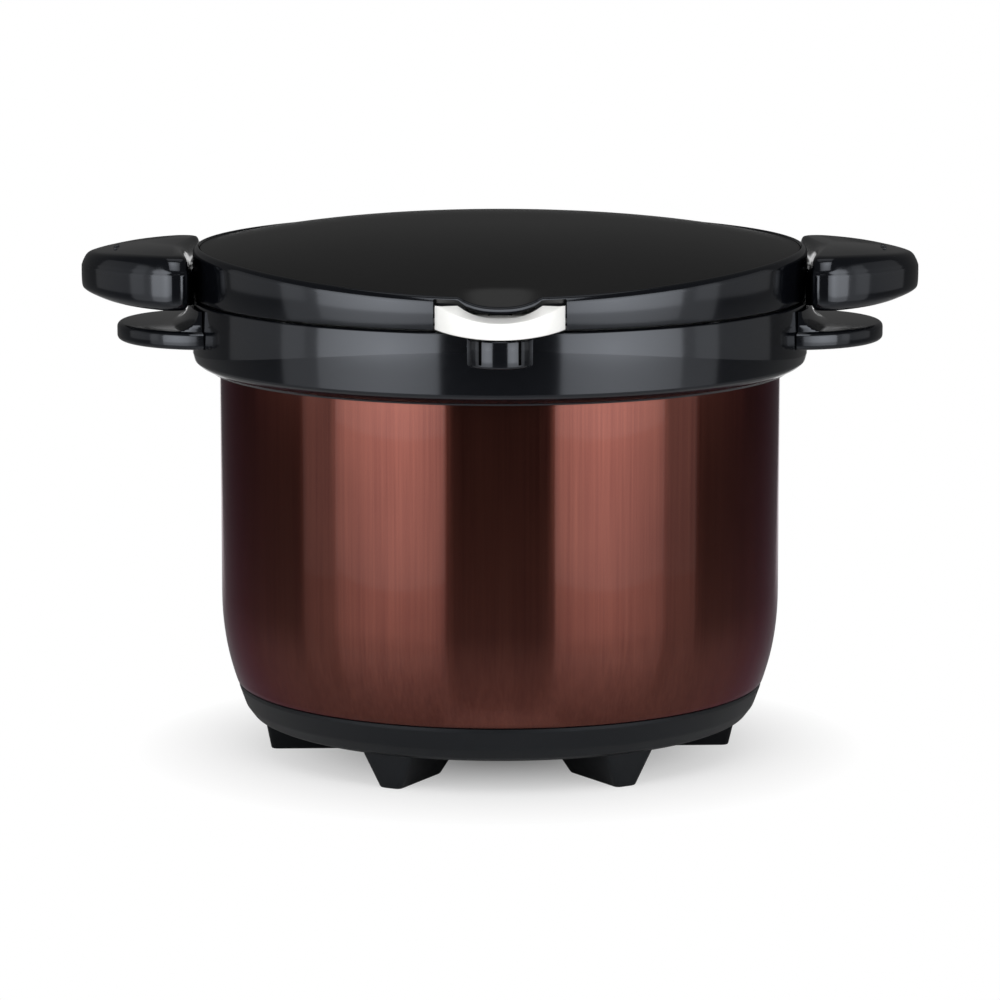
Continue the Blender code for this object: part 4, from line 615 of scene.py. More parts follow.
def keeper_ring(height, inset):
    radius, depth = KEEPER_HALF_WIDTH - inset, KEEPER_DEPTH - inset
    points = [(-radius * cos(angle), -COLLAR_RADIUS - depth * sin(angle), height)
              for angle in spaced(0, pi, KEEPER_STEPS)]
    for x in spaced(radius, -radius, KEEPER_BACK_STEPS):
        turn = asin(x / COLLAR_RADIUS)
        points.append(tuple(outward(collar_face(turn, height) + KEEPER_GAP, height, turn)))
    return points


levels = [(KEEPER_BOTTOM + KEEPER_ROUNDING * (1 - across), KEEPER_ROUNDING * (1 - up))
          for across, up in quarter_arc(KEEPER_ARC_STEPS)]
keeper_boss = raised("keeper_boss", [keeper_ring(*level) for level in (*levels, *KEEPER_LEVELS)])
for front, back, top in ((POCKET_FRONT, POCKET_LIP, POCKET_OPEN),
                         (POCKET_LIP - POCKET_OVERLAP, POCKET_BACK, POCKET_LIP_UNDERSIDE)):
    carved(keeper_boss, block((-POCKET_HALF_WIDTH, front, POCKET_FLOOR), (POCKET_HALF_WIDTH, back, top)))
fitted(keeper_boss, "container", "gloss_black", gloss_black, "latch_keeper", degrees=35)


# Rear hinge
# A matt black bracket screwed to the collar carries a steel pin, and the lid's arm turns on it.
# The arm is a second moulding that hugs the lid's ring.

HINGE_Y, HINGE_Z = 0.1462, 0.2030
KNUCKLE = 0.00578
HINGE_HALF_WIDTH, ARM_HALF_WIDTH = 0.0180, 0.0100
HINGE_ROOT = 0.1300
BRACKET_BOTTOM, BRACKET_TOP = 0.1955, 0.2056
BRACKET_PLATE, HINGE_SIDE_GAP = 0.0014, 0.0004
ARM_UNDERSIDE, ARM_TOP, ARM_STRAP = 0.2085, 0.2190, 0.1420
KNUCKLE_STEPS = 40
PIN_HOLE, PIN_HOLE_HALF = 0.0025, 0.02
HINGE_CUT_LOW, HINGE_CUT_HIGH, HINGE_CUT_BACK, HINGE_CUT_RISE = 0.19, 0.22, 0.16, 0.03
HINGE_EDGE = 0.0004
HINGE_SCREW_SEAT, HINGE_SCREW_HEIGHT, HINGE_SCREW_REACH = 0.13367, 0.1998, 0.0050
HINGE_SCREW_TURNS = (pi - radians(6), pi + radians(6))


def prism(name, outline, low, high):
    """Runs a (y, z) outline along X."""
    return raised(name, [[(x, y, z) for y, z in outline] for x in (low, high)])


def rod(radius, place, direction, length, steps=192):
    """A plain round cutter from a place along a direction."""
    return laid(spun("rod", [(0, 0), (radius, 0), (radius, length), (0, length)], steps), place, direction)


def bore(radius, y, z, half):
    """A round cutter along X for a pin."""
    return rod(radius, (-half, y, z), (1, 0, 0), 2 * half, 32)


def knuckle_arc(start, end):
    turns = [radians(angle) for angle in spaced(start, end, KNUCKLE_STEPS)]
    return [(HINGE_Y + KNUCKLE * cos(turn), HINGE_Z + KNUCKLE * sin(turn)) for turn in turns]


bracket_outline = [(HINGE_ROOT, BRACKET_BOTTOM), *knuckle_arc(-100, 140), (HINGE_ROOT, BRACKET_TOP)]
bracket = prism("hinge_block", bracket_outline, -HINGE_HALF_WIDTH, HINGE_HALF_WIDTH)
slot_half = ARM_HALF_WIDTH + HINGE_SIDE_GAP
carved(bracket, block((-slot_half, COLLAR_RADIUS + BRACKET_PLATE, HINGE_CUT_LOW),
                      (slot_half, HINGE_CUT_BACK, HINGE_CUT_HIGH)))
carved(bracket, rod(WALL_FACE, (0, 0, HINGE_CUT_LOW), UP, HINGE_CUT_RISE))
carved(bracket, bore(PIN_HOLE, HINGE_Y, HINGE_Z, PIN_HOLE_HALF))
edged(bracket, HINGE_EDGE, 2, 40)
fitted(bracket, "container", "matt_black", matt_black, "hinge_bracket", degrees=35)
refinished(screw_steel, "hinge_pin")
screws_from("hinge_screw_#", HINGE_SCREW_SEAT, HINGE_SCREW_HEIGHT, HINGE_SCREW_TURNS, HINGE_SCREW_REACH,
            "container")


# Lid's ring
# The outside of the lid is a glossy black ring with a rolled rim that is lower at the front.
# A finger scoop dips the rim there, and a notch below it takes the latch's lever.

LID_RADIUS, LID_BOTTOM, LID_WALL = 0.1377, 0.2073, 0.0030
LID_EDGE = 0.0007
RIM_SIDE_HEIGHT, RIM_FRONT_DROP, RIM_POWER = 0.2294, 0.0081, 2.5
RIM_ROLL_IN, RIM_ROLL_DOWN, RIM_ARC_STEPS = 0.0025, 0.0036, 10
SEAT_RADIUS, SEAT_CHAMFER = 0.1347, 0.0003
COVER_DROP, LEDGE_DROP, LEDGE_WIDTH, LEDGE_THICKNESS = 0.0008, 0.0036, 0.0082, 0.0020
SCOOP_HALF_WIDTH, SCOOP_DEPTH, SCOOP_POWER = 0.0178, 0.0041, 2.6
NOTCH_HALF_WIDTH, NOTCH_REACH = 0.0282, 0.0121
NOTCH_BACK, NOTCH_FRONT, NOTCH_LOW = NOTCH_REACH - LID_RADIUS, -0.16, 0.2030
NOTCH_RIM, NOTCH_RIM_SHARE, NOTCH_ROUNDING = 0.0013, 0.37, 0.0012
NOTCH_STEPS = 48
LID_SCREW_RADIUS = 0.1302
LID_SCREW_TURNS = [radians(45) + pi / 2 * number for number in range(4)]
PLATE_UNDERSIDE = 0.2094
LID_BOSS_RADIUS, LID_BOSS_GAP = 0.0036, 0.0013


def scoop_dip(angle):
    if cos(angle) <= 0:
        return 0
    share = min(1, abs(LID_RADIUS * sin(angle)) / SCOOP_HALF_WIDTH)
    return SCOOP_DEPTH * (1 - share ** SCOOP_POWER)


def plain_rim(angle):
    return RIM_SIDE_HEIGHT - RIM_FRONT_DROP * max(0, cos(angle)) ** RIM_POWER


def rim_height(angle):
    return plain_rim(angle) - scoop_dip(angle)


def ring_section(angle):
    rim = rim_height(angle)
    roll = [(LID_RADIUS - RIM_ROLL_IN + RIM_ROLL_IN * across, rim - RIM_ROLL_DOWN * (1 - up))
            for across, up in quarter_arc(RIM_ARC_STEPS)]
    ledge = rim - LEDGE_DROP
    inside = LID_RADIUS - LID_WALL
    return [
        (inside, LID_BOTTOM), (LID_RADIUS - LID_EDGE, LID_BOTTOM),
        (LID_RADIUS - LID_EDGE / 4, LID_BOTTOM + LID_EDGE / 4), (LID_RADIUS, LID_BOTTOM + LID_EDGE), *roll,
        (SEAT_RADIUS + SEAT_CHAMFER, rim - COVER_DROP / 2), (SEAT_RADIUS, rim - COVER_DROP),
        (SEAT_RADIUS, ledge), (SEAT_RADIUS - LEDGE_WIDTH, ledge),
        (SEAT_RADIUS - LEDGE_WIDTH, ledge - LEDGE_THICKNESS),
        (inside, ledge - LEDGE_THICKNESS),
    ]


def notch_top(x):
    angle = asin(x / LID_RADIUS)
    return rim_height(angle) - NOTCH_RIM - NOTCH_RIM_SHARE * scoop_dip(angle)


lid_ring = spun_to("lid_ring", ring_section, 384)
arch = [(x, notch_top(x)) for x in spaced(-NOTCH_HALF_WIDTH, NOTCH_HALF_WIDTH, NOTCH_STEPS)]
outline = rounded([(-NOTCH_HALF_WIDTH, NOTCH_LOW), *arch, (NOTCH_HALF_WIDTH, NOTCH_LOW)],
                  [0, NOTCH_ROUNDING] + [0] * (NOTCH_STEPS - 1) + [NOTCH_ROUNDING, 0], 4)
carved(lid_ring, raised("notch", [[(x, y, z) for x, z in outline] for y in (NOTCH_BACK, NOTCH_FRONT)]))
foot = PLATE_UNDERSIDE + LID_BOSS_GAP
bosses = []
for angle in LID_SCREW_TURNS:
    top = rim_height(angle) - LEDGE_DROP - LEDGE_THICKNESS / 2
    bosses.append(rod(LID_BOSS_RADIUS, outward(LID_SCREW_RADIUS, foot, angle), UP, top - foot, 32))
carved(lid_ring, joined(bosses), "UNION")
fitted(lid_ring, "lid", "gloss_black", gloss_black, "lid_band", degrees=35)


# Lid's cover
# A shallow dome in satin charcoal plastic that drops onto a ledge inside the ring.
# A fine even grain keeps its gloss soft, and its front edge follows the finger scoop.

DOME_RADIUS, DOME_WALL = 0.1344, 0.0025
DOME_CREST, DOME_POWER = 0.2402, 2.6
DOME_EDGE_IN, DOME_EDGE_DOWN = 0.0001, 0.0003
DOME_STEPS = 36
SCOOP_START = 0.93


def dome_height(angle, share):
    edge = plain_rim(angle) - COVER_DROP
    height = DOME_CREST - (DOME_CREST - edge) * share ** DOME_POWER
    blend = max(0, (share - SCOOP_START) / (1 - SCOOP_START))
    return height - scoop_dip(angle) * blend


def dome_section(angle):
    top = [(DOME_RADIUS * share, dome_height(angle, share)) for _, share in quarter_arc(DOME_STEPS)]
    edge_radius, edge_height = top[-1]
    top[-1] = (edge_radius - DOME_EDGE_IN, edge_height)
    under = [(radius, height - DOME_WALL) for radius, height in reversed(top)]
    return [*top, (edge_radius, edge_height - DOME_EDGE_DOWN), *under]


satin_black = moulded("satin_charcoal_plastic", (0.0035,) * 3, (0.0050,) * 3,
                      roughness=0.32, grain=1900.0, depth=0.00003)
lid_dome = spun_to("lid_dome", dome_section, 256, closed=False)
fitted(lid_dome, "lid", "satin_black", satin_black, "lid_cover", degrees=50)


# Inside of the lid
# A cream foam disc fills the dome, and a pale grey dished plate holds it in, screwed up into the ring.
# A grey silicone gasket under the plate seals on the well's lip.

PLATE_RADIUS, PLATE_WALL = 0.1343, 0.0010
PLATE_FLANGE_INNER, PLATE_DISH_RADIUS, PLATE_DISH_HEIGHT = 0.1160, 0.1120, 0.2170
PLATE_ROUNDING, PLATE_GAP = 0.003, 0.0003
PLATE_CUT_LOW, PLATE_CUT_TOP, PLATE_CUT_BACK = 0.20, 0.2130, 0.0018
PLATE_HOLE_LOW, PLATE_HOLE_RISE = 0.2050, 0.01
HOUSING_HALF_WIDTH = 0.0304
GASKET_OUTER, GASKET_INNER, GASKET_LOW, GASKET_HIGH = 0.1239, 0.1211, 0.2040, 0.2091
GASKET_ROUNDING = 0.0007
LID_SCREW_REACH = 0.0120

grey_plastic = moulded("pale_grey_plastic", (0.27, 0.27, 0.28), (0.33, 0.33, 0.34),
                       roughness=0.45, grain=1200.0, depth=0.00003)
silicone = moulded("grey_silicone", (0.36, 0.37, 0.38), (0.44, 0.45, 0.46),
                   roughness=0.62, grain=900.0, depth=0.00003)


def foam_finish():
    finish, shader, place = blank_finish("cream_foam", Roughness=0.95, IOR=1.4)
    cells = place.add("ShaderNodeTexVoronoi", {}, {"Vector": place, "Scale": 700.0})
    lead(shader, Base_Color=cells.spread(0.0, 0.8).between((0.66, 0.58, 0.42), (0.84, 0.78, 0.62)),
         Normal=cells.bump(0.6, 0.0003))
    return finish


refinished(foam_finish(), "lid_foam")
plate_line = rounded([(PLATE_RADIUS, PLATE_UNDERSIDE), (PLATE_FLANGE_INNER, PLATE_UNDERSIDE),
                      (PLATE_DISH_RADIUS, PLATE_DISH_HEIGHT), (0, PLATE_DISH_HEIGHT)], PLATE_ROUNDING)
inner_plate = walled(spun("inner_plate", plate_line), PLATE_WALL)
notch_half = HOUSING_HALF_WIDTH + PLATE_GAP
carved(inner_plate, block((-notch_half, NOTCH_FRONT, PLATE_CUT_LOW),
                          (notch_half, NOTCH_BACK + PLATE_CUT_BACK, PLATE_CUT_TOP)))
for turn in LID_SCREW_TURNS:
    place = outward(LID_SCREW_RADIUS, PLATE_HOLE_LOW, turn)
    carved(inner_plate, rod(SCREW_RADIUS + PLATE_GAP, place, UP, PLATE_HOLE_RISE, 24))
fitted(inner_plate, "lid", "grey_plastic", grey_plastic, "lid_inner_plate")
gasket_line = [(GASKET_INNER, GASKET_LOW), (GASKET_OUTER, GASKET_LOW), (GASKET_OUTER, GASKET_HIGH),
               (GASKET_INNER, GASKET_HIGH)]
seal_ring = spun("seal_ring", rounded(gasket_line, GASKET_ROUNDING, 4, closed=True), closed=True)
fitted(seal_ring, "lid", "silicone", silicone, "lid_gasket")
screws_from("lid_screw_#", LID_SCREW_RADIUS, PLATE_UNDERSIDE - PLATE_GAP, LID_SCREW_TURNS, LID_SCREW_REACH,
            "lid", UP)


# Handles on the lid
# Thick mouldings in glossy black plastic with a flat, slightly bowed top. A neck joins each to the ring,
# two screws hold it from inside, and three tiny raised dots mark it by touch. The hinge's arm is matt black.

EAR_INNER, EAR_LENGTH, EAR_HALF_WIDTH = 0.1388, 0.04898, 0.0525
EAR_LENGTH_POWER, EAR_WIDTH_POWER = 1.333, 1.176
EAR_SIDE_ANGLE = radians(78)
EAR_CORNER = 0.0058
EAR_CORNER_SHARES = ((0.45, 0.15), (0, 0.75))
EAR_BOW = 0.0026
EAR_TOP, EAR_TOP_FALL = 0.2288, 0.0018
EAR_BOTTOM, EAR_BOTTOM_RISE = 0.2048, 0.0032
EAR_MIDDLE = 0.1600
EAR_NECK_HALF_WIDTH = 0.0250
EAR_INNER_SHARE = 0.64
EAR_LEVELS = ((0, 0.0045), (0.08, 0.0015), (0.2, 0.0002), (0.6, 0), (0.7, 0.0004), (0.78, 0.0010),
              (0.9, 0.0024), (0.97, 0.0044), (1.0, 0.0078))
EAR_STEPS = 20
NECK_POINTS = 16
NECK_FULL, NECK_GONE = 0.56, 0.70
LID_FACE = 0.1380
EAR_SCREW_SEAT, EAR_SCREW_HEIGHT = 0.13407, 0.2150
EAR_SCREW_TURNS = (radians(-7), radians(7))
DOT_RADIUS, DOT_HEIGHT = 0.0008, 0.0004
DOT_LINE = ((0, 1), (0.5, 0.87), (0.87, 0.5), (1, 0), (1, -1), (0, -1))
DOT_PLACES = ((0.1722, -0.0040), (0.1727, 0.0020), (0.1722, 0.0080))


def smoothed(points, parts):
    """A smooth curve through points, each stretch in some parts."""
    places = [Vector(point) for point in points]
    last = len(places) - 1
    line = []
    for index in range(last):
        a, b, c, d = [places[min(max(index + shift, 0), last)] for shift in (-1, 0, 1, 2)]
        for part in range(parts):
            t = part / parts
            line.append(0.5 * (2 * b + (c - a) * t + (2 * a - 5 * b + 4 * c - d) * t ** 2
                               + (3 * b - a - 3 * c + d) * t ** 3))
    return [*line, places[-1]]


def ear_heights(x):
    share = (x - EAR_INNER) / EAR_LENGTH
    return EAR_BOTTOM + EAR_BOTTOM_RISE * share ** 2, EAR_TOP - EAR_TOP_FALL * share ** 2


def ear_inner_edge(y):
    return EAR_INNER - EAR_BOW * (y / EAR_HALF_WIDTH) ** 2


def ear_outline():
    """The handle's edge from above, with how far each point belongs to the neck."""
    points = []
    for angle in spaced(EAR_SIDE_ANGLE, -EAR_SIDE_ANGLE, EAR_STEPS):
        across = sin(angle)
        y = EAR_HALF_WIDTH * copysign(abs(across) ** EAR_WIDTH_POWER, across)
        points.append((EAR_INNER + EAR_LENGTH * cos(angle) ** EAR_LENGTH_POWER, y))
    end = points[-1][1]
    ends = [(EAR_CORNER * x, end + EAR_CORNER * y) for x, y in EAR_CORNER_SHARES]
    corner = [(ear_inner_edge(y) + x, y) for x, y in ends]
    inner_y = EAR_HALF_WIDTH * EAR_INNER_SHARE
    points += corner
    points += [(ear_inner_edge(inner_y), -inner_y)]
    smooth = smoothed([(x, -y) for x, y in reversed(corner + [points[-1]])] + points, 4)
    loop = [(place.x, place.y, 0.0) for place in smooth]
    neck = spaced(-EAR_NECK_HALF_WIDTH, EAR_NECK_HALF_WIDTH, NECK_POINTS)
    return loop + [(ear_inner_edge(y), y, 1.0) for y in neck]


def make_ear(name, side, node):
    outline = ear_outline()
    rings = []
    for share, inset in smoothed(EAR_LEVELS, 4):
        climb = min(1, max(0, (share - NECK_FULL) / (NECK_GONE - NECK_FULL)))
        neck = 1 - climb * climb * (3 - 2 * climb)
        ring = []
        for x, y, in_neck in outline:
            low, high = ear_heights(x)
            away = Vector((x - EAR_MIDDLE, y))
            away *= 1 - inset / away.length
            place = Vector((EAR_MIDDLE + away.x, away.y))
            if in_neck:
                place = place.lerp(Vector((on_wall(LID_FACE, y), y)), neck)
            ring.append((place.x, place.y, low + (high - low) * share))
        rings.append(mirrored(ring, side))
    ear = raised(name, rings)
    dots = []
    for x, y in DOT_PLACES:
        dot = spun("dot", [(DOT_RADIUS * out, DOT_HEIGHT * up) for out, up in DOT_LINE], 20)
        dots.append(laid(dot, (side * x, y, ear_heights(x)[1]), UP))
    ear = joined([ear] + dots)
    fitted(ear, "lid", "gloss_black", gloss_black, node, degrees=40)


for word, side in (("left", -1), ("right", 1)):
    make_ear("ear_" + word, side, "lid_handle_" + word)
    turns = [side * (pi / 2 + turn) for turn in EAR_SCREW_TURNS]
    screws_from("lid_handle_%s_screw_#" % word, EAR_SCREW_SEAT, EAR_SCREW_HEIGHT, turns,
                HANDLE_SCREW_REACH, "lid")

arm_outline = [
    (HINGE_ROOT, ARM_UNDERSIDE), (COLLAR_RADIUS + BRACKET_PLATE + HINGE_SIDE_GAP, ARM_UNDERSIDE),
    *knuckle_arc(-160, 60), (ARM_STRAP, ARM_TOP), (HINGE_ROOT, ARM_TOP),
]
hinge_strap = prism("hinge_strap", arm_outline, -ARM_HALF_WIDTH, ARM_HALF_WIDTH)
carved(hinge_strap, rod(LID_FACE, (0, 0, PLATE_CUT_LOW), UP, HINGE_CUT_RISE))
carved(hinge_strap, bore(PIN_HOLE, HINGE_Y, HINGE_Z, PIN_HOLE_HALF))
edged(hinge_strap, HINGE_EDGE, 2, 40)
fitted(hinge_strap, "lid", "matt_black", matt_black, "lid_hinge_arm", degrees=35)


# Latch
# A white crescent lever that a thumb lifts, moulded with a heel round a steel pin, and a black hook
# bonded under it. A coil spring on the pin presses the hook into the keeper, in a matt black housing.

LATCH_Y, LATCH_Z = -0.1285, 0.2105
LEVER_HALF_WIDTH, LEVER_FRONT, LEVER_END_PROUD = 0.0275, 0.1520, 0.0012
LEVER_LIP, LEVER_LIP_RISE = 0.0048, 0.0027
LEVER_FACE_TOP, LEVER_FACE_RISE = 0.2120, 0.0065
LEVER_TOP_GAP, LEVER_TOP_END_GAP = 0.0013, 0.0013
LEVER_WALL, LEVER_SLOPE = 0.0026, 0.0004
LEVER_SHELF_SETBACK, LEVER_STEP_DROP = 0.0034, 0.0019
LEVER_UNDERSIDE, LEVER_HEEL_TOP, LEVER_HEEL_BACK = 0.2080, 0.0027, 0.0036
LEVER_FACE_GAP, LEVER_STEP_GAP = 0.0002, 0.0003
LEVER_ROUNDINGS = (0.0007, 0.0007, 0.0005, 0.0005, 0.0005, 0.0008, 0.0008, 0.0005, 0.0004, 0.0004)
LEVER_STATIONS = 40
SPRING_ROOM = ((-0.0051, LATCH_Y - 0.0036, 0.2040), (0.0051, LATCH_Y + 0.0076, 0.2170))
LATCH_HOLE, LATCH_HOLE_HALF = 0.0015, 0.035
SPRING_HALF_LENGTH, SPRING_RADIUS, SPRING_WIRE = 0.0045 * 0.92, 0.0022, 0.00035
SPRING_TURNS, SPRING_STEPS = 9, 144
HOUSING_TOP, HOUSING_FRONT, HOUSING_WALL = 0.2130, -0.1306, 0.0012
HOUSING_CUT = ((-NOTCH_HALF_WIDTH, -0.14, 0.20), (NOTCH_HALF_WIDTH, NOTCH_BACK, 0.22))
HOOK_HALF_WIDTH, HOOK_BOTTOM = 0.0080, 0.1960
HOOK_NOSE, HOOK_WALL, HOOK_CUT, HOOK_FOOT = 0.0005, 0.0024, 0.0012, 0.0030
HOOK_PLATE, HOOK_TOP_GAP = 0.0018, 0.0003
HOOK_ROUNDINGS = (0.0005, 0.0008, 0.0004, 0.0003, 0.0003, 0.0008, 0.0003, 0.0003, 0.0003, 0.0003, 0.0008)


def lever_front(x):
    """The crescent's front edge: a circle through its ends and its middle."""
    end = on_wall(LID_RADIUS, LEVER_HALF_WIDTH) + LEVER_END_PROUD
    sagitta = LEVER_FRONT - end
    radius = (LEVER_HALF_WIDTH ** 2 + sagitta ** 2) / (2 * sagitta)
    return -(LEVER_FRONT - radius + sqrt(radius ** 2 - x ** 2))


def lever_ring(x):
    share = (x / LEVER_HALF_WIDTH) ** 2
    front = lever_front(x)
    top = notch_top(x) - LEVER_TOP_GAP - LEVER_TOP_END_GAP * share
    face = min(top - LEVER_FACE_GAP, LEVER_FACE_TOP + LEVER_FACE_RISE * share)
    bottom = LATCH_Z - LEVER_LIP - LEVER_SLOPE * 2 + LEVER_LIP_RISE * share
    wall = -on_wall(LID_RADIUS, x)
    shelf = max(front + LEVER_SLOPE * 2, wall - LEVER_SHELF_SETBACK)
    heel = LATCH_Z + LEVER_HEEL_TOP
    points = [
        (front, bottom), (front + LEVER_SLOPE, face), (shelf + LEVER_SLOPE, top),
        (max(wall - LEVER_STEP_GAP, shelf + LEVER_WALL / 2), top - LEVER_STEP_DROP),
        (LATCH_Y - LEVER_HEEL_BACK, heel), (LATCH_Y + LEVER_HEEL_BACK / 2, heel),
        (LATCH_Y + LEVER_HEEL_BACK * 0.7, LATCH_Z), (LATCH_Y + LEVER_HEEL_BACK / 2, LEVER_UNDERSIDE),
        (front + LEVER_WALL + LEVER_SLOPE, LEVER_UNDERSIDE), (front + LEVER_WALL, bottom),
    ]
    return [(x, y, z) for y, z in rounded(points, LEVER_ROUNDINGS, 3, closed=True)]


def wire_along(name, path, radius, sides=16):
    """Draws a round wire along a path of points."""
    places = [Vector(point) for point in path]
    ways = []
    for index, place in enumerate(places):
        before, after = places[max(index - 1, 0)], places[min(index + 1, len(places) - 1)]
        ways.append((after - before).normalized())
    side = ways[0].orthogonal().normalized()
    rings = []
    for place, way in zip(places, ways):
        side = (side - way * side.dot(way)).normalized()
        other = way.cross(side)
        rings.append([place + radius * (side * cos(turn) + other * sin(turn))
                      for turn in [tau * number / sides for number in range(sides)]])
    return raised(name, rings)


white_plastic = moulded("white_plastic", (0.84, 0.84, 0.82), (0.88, 0.88, 0.86),
                        roughness=0.30, grain=900.0, depth=0.00002, coat=0.2)
stations = spaced(-LEVER_HALF_WIDTH, LEVER_HALF_WIDTH, LEVER_STATIONS)
white_lever = raised("white_lever", [lever_ring(x) for x in stations])
carved(white_lever, block(*SPRING_ROOM))
carved(white_lever, bore(LATCH_HOLE, LATCH_Y, LATCH_Z, LATCH_HOLE_HALF))
edged(white_lever, 0.0004, 2, 50)
fitted(white_lever, "latch", "white", white_plastic, "latch_lever", degrees=40)

hook_tip = POCKET_LIP - HOOK_NOSE
hook_back = hook_tip - HOOK_NOSE
hook_front = hook_back - HOOK_WALL
hook_top = LEVER_UNDERSIDE - HOOK_TOP_GAP
plate_low = hook_top - HOOK_PLATE
hook_outline = [
    (hook_front, HOOK_BOTTOM), (hook_tip - HOOK_CUT, HOOK_BOTTOM), (hook_tip, HOOK_BOTTOM + HOOK_CUT),
    (hook_tip, HOOK_BOTTOM + HOOK_WALL), (hook_back, HOOK_BOTTOM + HOOK_WALL), (hook_back, plate_low),
    (hook_back + HOOK_WALL, plate_low), (hook_back + HOOK_WALL, hook_top),
    (hook_front - HOOK_FOOT, hook_top), (hook_front - HOOK_FOOT, plate_low), (hook_front, plate_low),
]
hook_outline = rounded(hook_outline, HOOK_ROUNDINGS, 3, closed=True)
black_hook = prism("black_hook", hook_outline, -HOOK_HALF_WIDTH, HOOK_HALF_WIDTH)
edged(black_hook, 0.0003, 2, 60)
fitted(black_hook, "latch", "gloss_black", gloss_black, "latch_hook")

latch_case = block((-HOUSING_HALF_WIDTH, HOUSING_FRONT, LEVER_UNDERSIDE),
                   (HOUSING_HALF_WIDTH, NOTCH_BACK + HOUSING_WALL, HOUSING_TOP))
latch_case.name = "latch_case"
carved(latch_case, block(*HOUSING_CUT))
carved(latch_case, bore(LATCH_HOLE, LATCH_Y, LATCH_Z, LATCH_HOLE_HALF))
edged(latch_case, 0.0003, 2, 40)
fitted(latch_case, "lid", "matt_black", matt_black, "latch_housing")
refinished(screw_steel, "latch_pin")

coil = []
for share in spaced(0, 1, SPRING_STEPS):
    turn = tau * SPRING_TURNS * share
    coil.append((SPRING_HALF_LENGTH * (2 * share - 1), LATCH_Y + SPRING_RADIUS * cos(turn),
                 LATCH_Z + SPRING_RADIUS * sin(turn)))
coil_spring = wire_along("coil_spring", coil, SPRING_WIRE, 8)
fitted(coil_spring, "latch", "steel", screw_steel, "latch_spring", degrees=60)


# Pot
# A drawn stainless steel pot with a flat rolled rim, polished round its axis, and a thick aluminium disc
# bonded under it that spreads the heat.

POT_RADIUS, POT_BOTTOM, POT_WALL = 0.1080, 0.0429, 0.0010
POT_RIM_UNDERSIDE, POT_FLARE = 0.1754, 0.0014
POT_ROUNDINGS = (0, 0.0008, 0.0100, 0)
DISC_RADIUS, DISC_BOTTOM, DISC_TOP = 0.0960, 0.0383, 0.0426
DISC_ROUNDINGS = (0, 0.0010, 0.0004, 0)

polished_steel = round_brushed("polished_stainless_steel", (0.60, 0.60, 0.59), (0.72, 0.72, 0.71), 0.16)
aluminium = round_brushed("turned_aluminium", (0.62, 0.62, 0.63), (0.74, 0.74, 0.75), 0.34)
pot_line = rounded([(POT_RADIUS + POT_FLARE, POT_RIM_UNDERSIDE), (POT_RADIUS, POT_RIM_UNDERSIDE),
                    (POT_RADIUS, POT_BOTTOM), (0, POT_BOTTOM)], POT_ROUNDINGS, 12)
steel_pot = walled(spun("steel_pot", pot_line), POT_WALL)
fitted(steel_pot, "inner_pot", "steel", polished_steel, "pot")
disc_line = rounded([(0, DISC_BOTTOM), (DISC_RADIUS, DISC_BOTTOM), (DISC_RADIUS, DISC_TOP), (0, DISC_TOP)],
                    DISC_ROUNDINGS, 4)
heat_disc = spun("heat_disc", disc_line)
fitted(heat_disc, "inner_pot", "aluminium", aluminium, "pot_base_disc")


# Handles of the pot
# A steel bracket with two rolled eyes is welded to each side of the pot. A bent steel wire turns in it
# and folds in over the glass lid, with a black moulded grip on its bar.

PIVOT_RADIUS, PIVOT_HEIGHT = 0.1079, 0.1660
WIRE_RADIUS = 0.0015
PIN_END, BAIL_HALF_WIDTH = 0.0260, 0.0360
BAIL_BEND_HEIGHT, BAR_RADIUS, BAR_HEIGHT = 0.1850, 0.0720, 0.1970
EYE_RADIUS, EYE_INNER, EYE_OUTER, EYE_HOLE, EYE_CUT = 0.0029, 0.0265, 0.0335, 0.0019, 0.04
BRACKET_LEVELS = ((0.1560, 0.0030), (0.1570, 0.0012), (0.1590, 0), (PIVOT_HEIGHT, 0))
WIRE_ROUNDINGS = (0, 0.0028, 0.0060, 0.0050, 0.0050, 0.0060, 0.0028, 0)
STRAP_INNER, STRAP_OUTER, STRAP_STEPS = 0.1083, 0.1098, 24
STRAP_HALF_ANGLE = radians(17)
HANDGRIP_RADIUS, HANDGRIP_HALF, HANDGRIP_HOLE = 0.0050, 0.0220, 0.0018
HANDGRIP_ROUNDINGS = (0, 0.0016, 0.0016, 0)
ALONG_Y = (0, 1, 0)


def strap_ring(height, inset, side):
    half = STRAP_HALF_ANGLE - inset / STRAP_OUTER
    turns = spaced(pi / 2 - half, pi / 2 + half, STRAP_STEPS)
    points = [tuple(outward(STRAP_OUTER, height, turn)) for turn in turns]
    points += [tuple(outward(STRAP_INNER, height, turn)) for turn in reversed(turns)]
    return mirrored(points, side)


